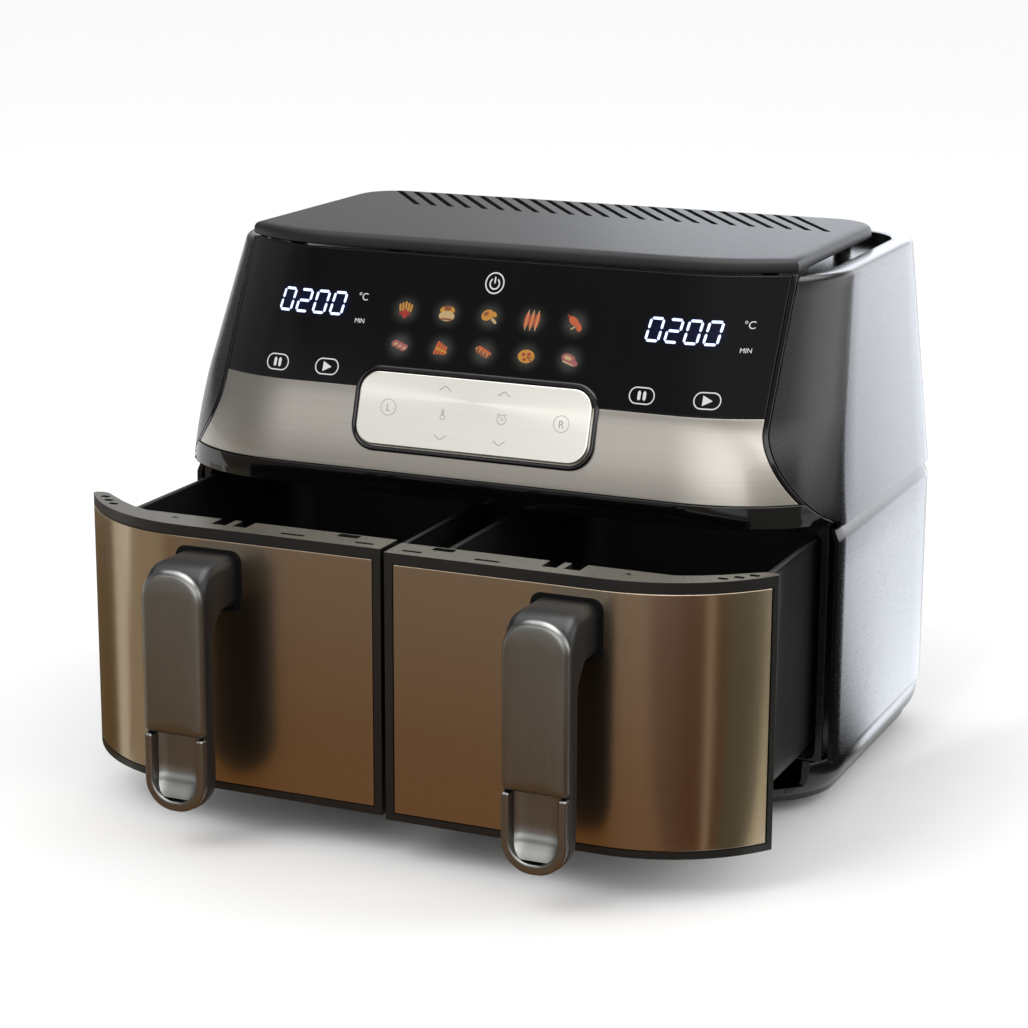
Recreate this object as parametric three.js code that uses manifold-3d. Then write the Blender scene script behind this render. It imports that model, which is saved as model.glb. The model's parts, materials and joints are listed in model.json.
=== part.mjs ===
// A dual-drawer air fryer: a two-part plastic body on a base pan, a raised vented
// top cover, a bowed glossy control fascia with a steel trim and a touch pad, and
// two drawers with steel fronts, hanging handles, cooking pans and crisper plates.
// Inside are two sheet-metal cooking chambers, each with a heating coil, a hot-air
// fan, a motor and a cooling fan on one shaft, a temperature sensor and a switch.
//
// Units are millimetres, +Z is up and the front faces -Y. The model is laid out in
// the body's own frame: y = 0 is the plane of the drawer fronts when they are shut,
// x = 0 is the middle and z = 0 is the worktop. The exported group then moves the
// whole object so that its origin is the centre of its footprint box.

import * as THREE from "three";
import { LoftGeometry } from "three/addons/geometries/LoftGeometry.js";
import { mergeVertices } from "three/addons/utils/BufferGeometryUtils.js";
import Module from "manifold-3d";

// ---- driving dimensions -----------------------------------------------------

const GAP = 0.3; // between pieces that touch
const WALL = 3; // of the plastic shells

const BASE = { low: 4, step: 16.5, top: 31, front: 18, shelfFront: 8 };
const BEAM = { x: 96, half: 60, y: [72, 216] }; // cross beams that carry the chambers
const FOOT = { x: 148, front: 62, rear: 224, low: 9, high: 10.5 };
const LOWER = { low: 31.5, chamfer: 155, top: 161.7, front: 46 };
const UPPER = { low: 162.2, rim: 291, rimWidth: 12, deck: 281 };
const PLAN_LOW = { flat: 119, cornerX: 76, cornerY: 56, side: 195, rear: 250, rearRadius: 40 };
const PLAN_HIGH = { flat: 102, cornerX: 79, cornerY: 62, side: 181, rear: 246, rearRadius: 38 };
const FASCIA = { low: 166, trimLow: 178.6, split: 222.2, top: 292.4, thick: 5, inlay: 1.3 };
const LEAN = { start: 165, knee: 218, step: 9, slope: 0.42 };
const PAD = { width: 136, height: 40, z: 212.6, y: 4.7, lean: 0.31, corner: 11, ring: 3.2 };
const COVER = { low: 293.1, top: 300.4, half: 162, rear: 217, rearRadius: 26, thick: 2.6 };
const SLOT = { count: 26, pitch: 11, width: 4, rise: 50, run: 36, rear: 211 };

const FRAME = { front: 45.3, rear: 47.7, half: 188.4, low: 31.6, top: 165.6 };
const CHAMBER = { inner: 9.5, outer: 185, front: 48, rear: 239, low: 31.5, top: 170, sheet: 1.2, cut: 21 };
const FAN = { x: 97, y: 146, hole: 58, dome: 66, domeTop: 199 };
const GRILLE = { x: 88, half: 44, low: 206, high: 262, corner: 6, bars: 7, pitch: 7, gap: 3.6 };
const GLAND = { x: 118, z: 52, half: 7 };
const SENSOR = { x: 166, y: 84 };
const COIL = { outer: 50, inner: 34, z: 163.5, wire: 3.1, turns: 1.5 };
const ROTOR = { hot: [174, 190, 46], cold: [243, 256, 40], hub: 9, shaft: 3 };

const DRAWER = { near: 2.2, flat: 119, radius: 94, turn: 54, low: 22.3, top: 165.2, deep: 20 };
const STEEL = { low: 26.5, top: 159.2, near: 7, thick: 1.1 };
const PAN = { near: 12, far: 181, front: 20.4, rear: 233, low: 34, top: 155, wall: 1.6, bow: 40, corner: 22 };
const PLATE = { z: 46, thick: 1.5, margin: 3 };
const HANDLE = { x: 102, width: 38, low: 22, top: 152.5, out: 41, grip: 15, armLow: 126, split: 64.5 };
const OPEN_RIGHT = 106;
const OPEN_LEFT = 101.5;

const FOOTPRINT_FRONT = -(OPEN_RIGHT + HANDLE.out);
const FOOTPRINT_REAR = 258;

// ---- materials --------------------------------------------------------------

const finish = (color, roughness, metalness) =>
  new THREE.MeshStandardMaterial({ color, roughness, metalness });
const blackPlastic = finish(0x1b1c1e, 0.42, 0);
const satinPlastic = finish(0x2a2a2b, 0.55, 0);
const glossBlack = finish(0x08080a, 0.08, 0);
const brushedSteel = finish(0xb9b2a6, 0.32, 1);
const padSteel = finish(0xe6e2da, 0.3, 1);
const satinSilver = finish(0xa9a7a2, 0.3, 1);
const sheetSteel = finish(0x8f9296, 0.45, 1);
const nonStick = finish(0x121213, 0.5, 0.1);
const rubber = finish(0x151515, 0.85, 0);
const boardGreen = finish(0x1d5a3a, 0.6, 0);
const aluminium = finish(0xb8bbbf, 0.4, 1);
const heaterSteel = finish(0x55524f, 0.5, 0.9);
const paleNylon = finish(0xd8d6cf, 0.6, 0);

// ---- solids -----------------------------------------------------------------

const wasm = await Module();
wasm.setup();

// A closed three.js geometry as a manifold-3d solid.
function solid(geometry) {
  const loose = geometry.index ? geometry.toNonIndexed() : geometry.clone();
  for (const name of Object.keys(loose.attributes))
    if (name !== "position") loose.deleteAttribute(name);
  const merged = mergeVertices(loose, 1e-4);
  return new wasm.Manifold(
    new wasm.Mesh({
      numProp: 3,
      vertProperties: merged.attributes.position.array,
      triVerts: new Uint32Array(merged.index.array),
    }),
  );
}

// A manifold-3d solid back as a three.js geometry.
function geometryOf(made) {
  const mesh = made.getMesh();
  const geometry = new THREE.BufferGeometry();
  geometry.setAttribute("position", new THREE.BufferAttribute(mesh.vertProperties, 3));
  geometry.setIndex(new THREE.BufferAttribute(mesh.triVerts, 1));
  geometry.computeVertexNormals();
  return geometry;
}

function extruded(shape, depth, curveSegments = 4) {
  return new THREE.ExtrudeGeometry(shape, { depth, bevelEnabled: false, curveSegments });
}

// Outline in (x, y), as seen from above, standing from z0 to z1.
function planSolid(shape, z0, z1, segments) {
  return solid(extruded(shape, z1 - z0, segments).translate(0, 0, z0));
}

// Outline in (x, z), as seen from the front, running from y0 to y1.
function frontSolid(shape, y0, y1, segments) {
  return solid(extruded(shape, y1 - y0, segments).rotateX(Math.PI / 2).translate(0, y1, 0));
}

// Outline in (y, z), as seen from the right, running from x0 to x1.
function sideSolid(shape, x0, x1, segments) {
  const turn = new THREE.Matrix4().makeBasis(
    new THREE.Vector3(0, 1, 0),
    new THREE.Vector3(0, 0, 1),
    new THREE.Vector3(1, 0, 0),
  );
  return solid(extruded(shape, x1 - x0, segments).applyMatrix4(turn).translate(x0, 0, 0));
}

function boxSolid(x0, x1, y0, y1, z0, z1) {
  const box = new THREE.BoxGeometry(x1 - x0, y1 - y0, z1 - z0);
  return solid(box.translate((x0 + x1) / 2, (y0 + y1) / 2, (z0 + z1) / 2));
}

// An upright cylinder, or a cone where the two radii differ.
function postSolid(x, y, z0, z1, low, high = low, sides = 24) {
  const post = new THREE.CylinderGeometry(high, low, z1 - z0, sides);
  return solid(post.rotateX(Math.PI / 2).translate(x, y, (z0 + z1) / 2));
}

function tubeSolid(curve, radius, steps, sides = 3) {
  const ring = new THREE.Shape();
  ring.absarc(0, 0, radius, 0, 2 * Math.PI);
  const tube = { extrudePath: curve, steps, bevelEnabled: false, curveSegments: sides };
  return solid(new THREE.ExtrudeGeometry(ring, tube));
}

function polygon(points) {
  return new THREE.Shape(points.map(([x, y]) => new THREE.Vector2(x, y)));
}

// A rectangle with one radius for its two lower corners and another for its upper ones.
function roundedRectangle(x0, x1, y0, y1, low, high = low) {
  const shape = new THREE.Shape();
  shape.moveTo(x0 + low, y0);
  shape.lineTo(x1 - low, y0);
  shape.absarc(x1 - low, y0 + low, low, -Math.PI / 2, 0);
  shape.lineTo(x1, y1 - high);
  shape.absarc(x1 - high, y1 - high, high, 0, Math.PI / 2);
  shape.lineTo(x0 + high, y1);
  shape.absarc(x0 + high, y1 - high, high, Math.PI / 2, Math.PI);
  shape.lineTo(x0, y0 + low);
  shape.absarc(x0 + low, y0 + low, low, Math.PI, 1.5 * Math.PI);
  return shape;
}

const mix = (a, b, t) => a + (b - a) * t;

// ---- the body's plan --------------------------------------------------------

// The body seen from above at one height: a flat front with elliptical corners, straight
// sides and round rear corners, shrunk inwards by inset. Counterclockwise.
function bodyOutline({ flat, cornerX, cornerY, side, rear, rearRadius }, front, inset) {
  const frontSteps = 8;
  const rearSteps = 5;
  const half = [];
  for (let i = 0; i <= frontSteps; i++) {
    const a = ((i / frontSteps) * Math.PI) / 2;
    const x = side - cornerX + (cornerX - inset) * Math.sin(a);
    const y = front + cornerY - (cornerY - inset) * Math.cos(a);
    half.push([x, y]);
  }
  for (let i = 0; i <= rearSteps; i++) {
    const a = ((i / rearSteps) * Math.PI) / 2;
    const r = rearRadius - inset;
    half.push([side - rearRadius + r * Math.cos(a), rear - rearRadius + r * Math.sin(a)]);
  }
  half[0][0] = flat;
  const mirrored = half.map(([x, y]) => [-x, y]).reverse();
  return [...half, ...mirrored];
}

const ring = (outline, z) => outline.map(([x, y]) => new THREE.Vector3(x, y, z));

function loft(rings) {
  return solid(new LoftGeometry(rings, { capStart: true, capEnd: true }));
}

// How far the fascia's middle leans back from the drawer plane at a height.
function leanAt(z) {
  const t = Math.max(0, (z - LEAN.start) / (LEAN.knee - LEAN.start));
  if (z <= LEAN.knee) return LEAN.step * t ** 2;
  return LEAN.step + LEAN.slope * (z - LEAN.knee);
}

// The upper body's outline at a height, shrunk inwards by inset.
function upperOutline(z, inset) {
  const t = (z - UPPER.low) / (UPPER.rim - UPPER.low);
  const plan = {};
  for (const key of Object.keys(PLAN_LOW)) plan[key] = mix(PLAN_LOW[key], PLAN_HIGH[key], t);
  return bodyOutline(plan, leanAt(z), inset);
}

function upperBody(z0, z1, inset) {
  const heights = [z0, 185, 202, LEAN.knee, z1].filter((z) => z >= z0 && z <= z1);
  return loft(heights.map((z) => ring(upperOutline(z, inset), z)));
}

// The fascia's edge as seen from the front: nearly upright beside the window, then
// swinging out to the side of the body. A positive inset moves it inwards.
function fasciaShape(inset) {
  const right = [
    [192.5, 150],
    [192.5, 166],
    [185, 174.5],
    [176.5, 184],
    [168, 194],
    [162, 204],
    [161.2, 216],
    [162, 292],
    [162, 310],
  ].map(([x, z]) => [x - inset, z]);
  return polygon([...right, ...right.map(([x, z]) => [-x, z]).reverse()]);
}

// The pad's rounded rectangle in its own plane, grown on all sides by extra.
function padSolid(extra, back, front) {
  const w = PAD.width / 2 + extra;
  const h = PAD.height / 2 + extra;
  const made = frontSolid(roundedRectangle(-w, w, -h, h, PAD.corner + extra), -front, -back, 4);
  const tilt = (-Math.atan(PAD.lean) * 180) / Math.PI;
  return made.rotate([tilt, 0, 0]).translate([0, PAD.y, PAD.z]);
}

// ---- the object's pieces ----------------------------------------------------

const fryer = new THREE.Group();
fryer.position.y = -(FOOTPRINT_FRONT + FOOTPRINT_REAR) / 2;

function add(name, made, material, group = fryer) {
  const mesh = new THREE.Mesh(geometryOf(made), material);
  mesh.name = name;
  group.add(mesh);
}

const SIDES = [
  { name: "left", sign: -1, open: OPEN_LEFT },
  { name: "right", sign: 1, open: OPEN_RIGHT },
];

function buildBase() {
  const foot = { flat: 95, cornerX: 88, cornerY: 62, side: 183, rear: 240, rearRadius: 34 };
  const brim = { ...foot, flat: 98, cornerX: 94, side: 192, rear: 249, rearRadius: 38 };
  const shelf = { ...PLAN_LOW, side: 193.5, rear: 250.5, rearRadius: 39 };
  const lower = loft([
    ring(bodyOutline(foot, BASE.front + 4, 0), BASE.low),
    ring(bodyOutline(foot, BASE.front + 1, -3), BASE.low + 4),
    ring(bodyOutline(brim, BASE.front, 0), BASE.step),
  ]);
  const upper = loft([
    ring(bodyOutline({ ...brim, side: 191.9, rear: 248.9 }, BASE.front, 0), BASE.step - 1),
    ring(bodyOutline(shelf, BASE.shelfFront, 0), BASE.top - 2.5),
    ring(bodyOutline(shelf, BASE.shelfFront, 0), BASE.top),
  ]).intersect(boxSolid(-200, 200, LOWER.front, 260, 0, 60));
  const hollow = loft([
    ring(bodyOutline(foot, BASE.front + 6, WALL), BASE.low + WALL),
    ring(bodyOutline(shelf, BASE.front + 6, WALL), BASE.top + 1),
  ]).intersect(boxSolid(-200, 200, LOWER.front + 4, 260, 0, 60));
  let pan = lower.add(upper).subtract(hollow);
  for (const { sign } of SIDES) {
    const x = sign * BEAM.x;
    for (const y of BEAM.y)
      pan = pan.add(boxSolid(x - BEAM.half, x + BEAM.half, y - 2, y + 2, BASE.low + 2, CHAMBER.low - GAP));
  }
  add("base_pan", pan, blackPlastic);

  for (const end of ["front", "rear"])
    for (const { name, sign } of SIDES) {
      const foot = postSolid(sign * FOOT.x, FOOT[end], 0, BASE.low - GAP, FOOT.low, FOOT.high, 14);
      add(`foot_${end}_${name}`, foot, rubber);
    }
}

function buildLowerShell() {
  const straight = { ...PLAN_LOW, side: 194.4 };
  const outer = loft([
    ring(bodyOutline({ ...straight, side: 193.8 }, 0, 0), LOWER.low),
    ring(bodyOutline(straight, 0, 0), LOWER.chamfer),
    ring(bodyOutline(straight, 0, 2.4), LOWER.top),
  ]);
  const inner = loft([
    ring(bodyOutline(straight, 0, WALL + 1), LOWER.low - 1),
    ring(bodyOutline(straight, 0, WALL + 1), LOWER.top + 1),
  ]);
  const { x, z, half } = GLAND;
  const gland = boxSolid(x - half, x + half, 240, 260, z - half, z + half);
  const shell = outer
    .subtract(inner)
    .intersect(boxSolid(-200, 200, LOWER.front, 260, 0, 200))
    .subtract(gland);
  add("lower_shell", shell, blackPlastic);
}

function rearOpening(sign, margin) {
  const x = sign * GRILLE.x;
  const reach = GRILLE.half + margin;
  const { low, high, corner } = GRILLE;
  return frontSolid(roundedRectangle(x - reach, x + reach, low - margin, high + margin, corner), 236, 262, 3);
}

function buildUpperShell() {
  const high = UPPER.rim - WALL;
  const flangeHole = bodyOutline(PLAN_HIGH, leanAt(UPPER.rim), UPPER.rimWidth);
  let shell = upperBody(UPPER.low, UPPER.rim, 0)
    .subtract(upperBody(UPPER.low - 1, high, WALL))
    .subtract(planSolid(polygon(flangeHole), high - 5, UPPER.rim + 5))
    .subtract(frontSolid(fasciaShape(-GAP), -20, 72));
  for (const { sign } of SIDES) shell = shell.subtract(rearOpening(sign, 0));
  shell = shell.subtract(boxSolid(-200, 200, -10, FRAME.rear, 150, FASCIA.low));
  add("upper_shell", shell, blackPlastic);

  for (const { name, sign } of SIDES) {
    const thin = upperBody(FASCIA.low, UPPER.rim, 0.6).subtract(upperBody(FASCIA.low, UPPER.rim, 2.4));
    let grille = rearOpening(sign, -GAP).intersect(thin);
    const [x, reach] = [sign * GRILLE.x, GRILLE.half - 6];
    for (let i = 0; i < GRILLE.bars; i++) {
      const z = GRILLE.low + 5.5 + GRILLE.pitch * i;
      grille = grille.subtract(boxSolid(x - reach, x + reach, 230, 262, z, z + GRILLE.gap));
    }
    add(`rear_grille_${name}`, grille, blackPlastic);
  }
}

function buildTop() {
  const deckPlan = upperOutline(UPPER.deck, 6.5);
  let deck = planSolid(polygon(deckPlan), UPPER.deck, UPPER.deck + 2.5);
  for (const { sign } of SIDES) {
    for (let i = 0; i < 4; i++) {
      const y = 112 + 22 * i;
      deck = deck.subtract(boxSolid(sign * 92 - 38, sign * 92 + 38, y, y + 9, 270, 290));
    }
    for (const y of [78, 205])
      deck = deck.add(postSolid(sign * 142, y, UPPER.deck + 1, COVER.top - COVER.thick - GAP, 5, 5, 10));
  }
  add("top_deck", deck, blackPlastic);

  // The cover follows the fascia's bow in front and has straight sides and round rear corners.
  const coverRing = (inset, z) => {
    const bow = bodyOutline(PLAN_HIGH, leanAt(COVER.low), inset).slice(0, 9);
    const front = bow.filter(([x]) => x < COVER.half - inset);
    const edge = bow.findIndex(([x]) => x >= COVER.half - inset);
    const [a, b] = [bow[edge - 1], bow[edge]];
    const t = (COVER.half - inset - a[0]) / (b[0] - a[0]);
    const half = [...front, [COVER.half - inset, mix(a[1], b[1], t)]];
    for (let i = 0; i <= 5; i++) {
      const angle = ((i / 5) * Math.PI) / 2;
      const r = COVER.rearRadius - inset;
      const x = COVER.half - COVER.rearRadius + r * Math.cos(angle);
      half.push([x, COVER.rear - COVER.rearRadius + r * Math.sin(angle)]);
    }
    return ring([...half, ...half.map(([x, y]) => [-x, y]).reverse()], z);
  };
  let cover = loft([
    coverRing(0.4, COVER.low),
    coverRing(0, COVER.low + 1.5),
    coverRing(1.2, COVER.top - 2),
    coverRing(4, COVER.top),
  ]).subtract(loft([coverRing(3, COVER.low - 1), coverRing(4.5, COVER.top - COVER.thick)]));
  for (let i = 0; i < SLOT.count; i++) {
    const x = (i - (SLOT.count - 1) / 2) * SLOT.pitch - SLOT.run / 2;
    const slot = [
      [x, SLOT.rear],
      [x + SLOT.run, SLOT.rear - SLOT.rise],
      [x + SLOT.run + SLOT.width, SLOT.rear - SLOT.rise],
      [x + SLOT.width, SLOT.rear],
    ];
    cover = cover.subtract(planSolid(polygon(slot), COVER.low - 8, COVER.top + 5));
  }
  add("top_cover", cover, satinPlastic);
}

function buildFascia() {
  const layer = (from, to, z0, z1) => upperBody(z0, z1, from).subtract(upperBody(z0 - 1, z1 + 1, to));
  const padHole = padSolid(PAD.ring + 1.5 + GAP, -14, 20);
  const inlaySlot = frontSolid(fasciaShape(2.5), -20, 72);
  const frame = layer(0, FASCIA.thick, FASCIA.low, FASCIA.top)
    .intersect(frontSolid(fasciaShape(0), -20, 72))
    .subtract(layer(-1, FASCIA.inlay + GAP, FASCIA.trimLow - GAP, FASCIA.top + 2).intersect(inlaySlot))
    .subtract(padHole);
  const sill = boxSolid(-150, 150, 9, FRAME.rear, FASCIA.low, FASCIA.low + 2);
  let carrier = frame.add(sill);
  for (const { sign } of SIDES)
    carrier = carrier.subtract(boxSolid(sign * 110 - 28, sign * 110 + 28, 0, 70, 250, 272));
  add("fascia_frame", carrier, glossBlack);

  const inlay = (z0, z1) =>
    layer(0, FASCIA.inlay, z0, z1)
      .intersect(frontSolid(fasciaShape(2.5 + GAP), -20, 72))
      .subtract(padHole);
  add("steel_trim", inlay(FASCIA.trimLow, FASCIA.split), brushedSteel);
  add("control_window", inlay(FASCIA.split + GAP, FASCIA.top - 0.4), glossBlack);

  add("touch_bezel", padSolid(PAD.ring + 1, -8, -0.5).subtract(padSolid(GAP, -5, 10)), glossBlack);
  add("touch_pad", padSolid(0, -5 + GAP, 0), padSteel);
}

// The plate that the drawers pass through, with a wide opening on each side.
function buildFrontFrame() {
  let frame = boxSolid(-FRAME.half, FRAME.half, FRAME.front, FRAME.rear, FRAME.low, FRAME.top);
  for (const { sign } of SIDES) {
    const [a, b] = [sign * (CHAMBER.inner + 1), sign * (CHAMBER.outer - 1)];
    const shape = roundedRectangle(Math.min(a, b), Math.max(a, b), CHAMBER.low + 1.5, 158, 4);
    frame = frame.subtract(frontSolid(shape, FRAME.front - 1, FRAME.rear + 1, 2));
  }
  add("front_frame", frame, blackPlastic);
}

function buildElectronics() {
  const tilt = (Math.atan(LEAN.slope) * 180) / Math.PI;
  const board = boxSolid(-150, 150, 0, 1.6, -26, 26).rotate([-tilt, 0, 0]);
  add("control_board", board.translate([0, leanAt(256) + 20, 256]), boardGreen);
  for (const { name, sign } of SIDES) {
    const led = boxSolid(-26, 26, 0, 8, -9, 9).rotate([-tilt, 0, 0]);
    add(`display_${name}`, led.translate([sign * 110, leanAt(261) + 8, 261]), paleNylon);
  }
  const power = boxSolid(-40, 40, 222, 224, 178, 240);
  add("power_board", power.add(boxSolid(-22, 14, 200, 222.5, 196, 226)), boardGreen);
  const bush = postSolid(0, 0, -FOOTPRINT_REAR, -PLAN_LOW.rear - GAP, 8, 9.5, 16)
    .add(postSolid(0, 0, -PLAN_LOW.rear - 1, -242, 6.5, 6.5, 16))
    .rotate([90, 0, 0]);
  add("cord_gland", bush.translate([GLAND.x, 0, GLAND.z]), rubber);
}

function buildChamber({ name, sign }) {
  const group = new THREE.Group();
  group.scale.x = sign;
  fryer.add(group);
  const { inner, outer, front, rear, low, top, sheet, cut } = CHAMBER;
  const plan = (grow, y0) =>
    polygon([
      [inner - grow, y0],
      [outer + grow, y0],
      [outer + grow, rear - cut + grow / 2],
      [outer - cut + grow / 2, rear + grow],
      [inner - grow, rear + grow],
    ]);
  const box = planSolid(plan(sheet, front), low, top + sheet)
    .subtract(planSolid(plan(0, front - 1), low + sheet, top))
    .subtract(postSolid(FAN.x, FAN.y, top - 5, top + 5, FAN.hole, FAN.hole, 20))
    .subtract(postSolid(SENSOR.x, SENSOR.y, top - 5, top + 5, 2.6, 2.6, 10))
    .subtract(boxSolid(FAN.x - 3.5, FAN.x + 3.5, rear - 1, rear + 5, 96, 103));
  add(`chamber_${name}`, box, sheetSteel, group);

  const dome = postSolid(FAN.x, FAN.y, top + sheet + GAP, FAN.domeTop, FAN.dome, FAN.dome - 6, 20)
    .subtract(postSolid(FAN.x, FAN.y, top, FAN.domeTop - sheet, FAN.dome - sheet, FAN.dome - 6 - sheet, 20))
    .subtract(postSolid(FAN.x, FAN.y, FAN.domeTop - 5, FAN.domeTop + 5, 4.5, 4.5, 16));
  add(`heat_shield_${name}`, dome, sheetSteel, group);

  // A flat spiral of heating tube under the hot-air fan.
  const spiral = [];
  const count = 24;
  for (let i = 0; i <= count; i++) {
    const a = (i / count) * COIL.turns * 2 * Math.PI;
    const r = mix(COIL.outer, COIL.inner, i / count);
    spiral.push(new THREE.Vector3(FAN.x + r * Math.cos(a), FAN.y + r * Math.sin(a), COIL.z));
  }
  const coil = tubeSolid(new THREE.CatmullRomCurve3(spiral), COIL.wire, 40);
  add(`heater_${name}`, coil, heaterSteel, group);

  // Two radial fans on one shaft: each a hub with straight blades.
  const bore = postSolid(FAN.x, FAN.y, 170, 260, ROTOR.shaft + 0.5, ROTOR.shaft + 0.5, 8);
  const rotor = ([low, high, reach], hubLow, blades) => {
    let made = postSolid(FAN.x, FAN.y, hubLow, hubLow + 8, ROTOR.hub, ROTOR.hub, 14);
    for (let i = 0; i < blades; i++) {
      const blade = boxSolid(7, reach, -0.8, 0.8, low, high).rotate([0, 0, (360 / blades) * i]);
      made = made.add(blade.translate([FAN.x, FAN.y, 0]));
    }
    return made.subtract(bore);
  };
  add(`hot_air_fan_${name}`, rotor(ROTOR.hot, 176, 8), aluminium, group);
  add(`cooling_fan_${name}`, rotor(ROTOR.cold, 246, 7), paleNylon, group);
  add(`fan_shaft_${name}`, postSolid(FAN.x, FAN.y, 173, 258, ROTOR.shaft, ROTOR.shaft, 10), aluminium, group);

  const motor = postSolid(FAN.x, FAN.y, FAN.domeTop + 6, 238, 24, 24, 20)
    .add(boxSolid(FAN.x - 34, FAN.x + 34, FAN.y - 8, FAN.y + 8, FAN.domeTop + GAP, FAN.domeTop + 9))
    .subtract(postSolid(FAN.x, FAN.y, 190, 250, 4, 4, 12));
  add(`fan_motor_${name}`, motor, aluminium, group);

  const sensor = postSolid(SENSOR.x, SENSOR.y, 158, 184, 2.2, 2.2, 10)
    .add(postSolid(SENSOR.x, SENSOR.y, top + sheet + GAP, 178, 6, 6, 12));
  add(`temperature_sensor_${name}`, sensor, aluminium, group);
  const body = boxSolid(FAN.x - 10, FAN.x + 10, rear + 1.5, 245.7, 92, 107)
    .subtract(boxSolid(FAN.x - 3.2, FAN.x + 3.2, rear, 244.7, 96.5, 102.5));
  add(`drawer_switch_${name}`, body, blackPlastic, group);
  const plunger = boxSolid(FAN.x - 2.8, FAN.x + 2.8, PAN.rear + 0.5, 241.9, 97, 102);
  add(`switch_plunger_${name}`, plunger, paleNylon, group);
}

// ---- drawers ----------------------------------------------------------------

// A drawer front seen from above, at a depth behind its face, out to the wing's turn angle.
function faceLine(depth, turn = DRAWER.turn, steps = 12) {
  const points = [];
  for (let i = 0; i <= steps; i++) {
    const a = ((i / steps) * turn * Math.PI) / 180;
    const r = DRAWER.radius - depth;
    points.push([DRAWER.flat + r * Math.sin(a), DRAWER.radius - r * Math.cos(a)]);
  }
  return points;
}

function faceBand(near, front, back, turn) {
  const outer = [[near, front], ...faceLine(front, turn)];
  const inner = [[near, back], ...faceLine(back, turn)].reverse();
  return polygon([...outer, ...inner]);
}

// The pan from above, shrunk by inset: its front outer corner follows the drawer's bow.
function panOutline(inset) {
  const [x0, x1] = [PAN.near + inset, PAN.far - inset];
  const [y0, y1] = [PAN.front + inset, PAN.rear - inset];
  const [bow, r] = [PAN.bow - inset, PAN.corner - inset];
  const shape = new THREE.Shape();
  shape.moveTo(x0 + r, y0);
  shape.lineTo(x1 - bow, y0);
  shape.absarc(x1 - bow, y0 + bow, bow, -Math.PI / 2, 0);
  shape.lineTo(x1, y1 - r);
  shape.absarc(x1 - r, y1 - r, r, 0, Math.PI / 2);
  shape.lineTo(x0 + r, y1);
  shape.absarc(x0 + r, y1 - r, r, Math.PI / 2, Math.PI);
  shape.lineTo(x0, y0 + r);
  shape.absarc(x0 + r, y0 + r, r, Math.PI, 1.5 * Math.PI);
  return shape;
}

// The handle seen from the side: a hanging grip whose arm turns back into the steel.
function handleProfile() {
  const { low, top, out, grip, armLow } = HANDLE;
  const front = -out + 3;
  const back = -out + grip;
  const side = new THREE.Shape();
  side.moveTo(-GAP, armLow + 3);
  side.lineTo(-GAP, top);
  side.lineTo(front + 12, top);
  side.quadraticCurveTo(front + 1, top, front, top - 12);
  side.lineTo(front, low + 2);
  side.lineTo(front + 2, low);
  side.lineTo(back - 4, low);
  side.quadraticCurveTo(back, low, back, low + 6);
  side.lineTo(back, armLow - 16);
  side.quadraticCurveTo(back + 1, armLow - 1, back + 14, armLow);
  side.closePath();
  return side;
}

function handleSolids() {
  const { x, width, low, top, out, split } = HANDLE;
  const half = width / 2;
  const front = -out + 3;
  const face = (w, z0, z1, y0, y1, corners, segments = 5) =>
    frontSolid(roundedRectangle(-w, w, z0, z1, ...corners), y0, y1, segments);
  const body = sideSolid(handleProfile(), -half, half, 5)
    .intersect(face(half - 1, low, top, -60, 0, [17, 5], 4))
    .subtract(face(half - 2.5, low + 2.5, split - 0.7, -60, front + 8, [15.5, 1]));
  const cover = face(half - 2.5, split, top - 2, -out, front - GAP, [1, 15.5]);
  const scoop = face(half - 2.8, low + 2.8, split - 1.2, -out + 0.6, front + 7.7, [15.2, 1])
    .subtract(face(half - 8, low + 9, split - 0.5, -60, front + 5.5, [10, 0.5]));
  return [body, cover, scoop].map((made) => made.translate([x, 0, 0]));
}

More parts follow.
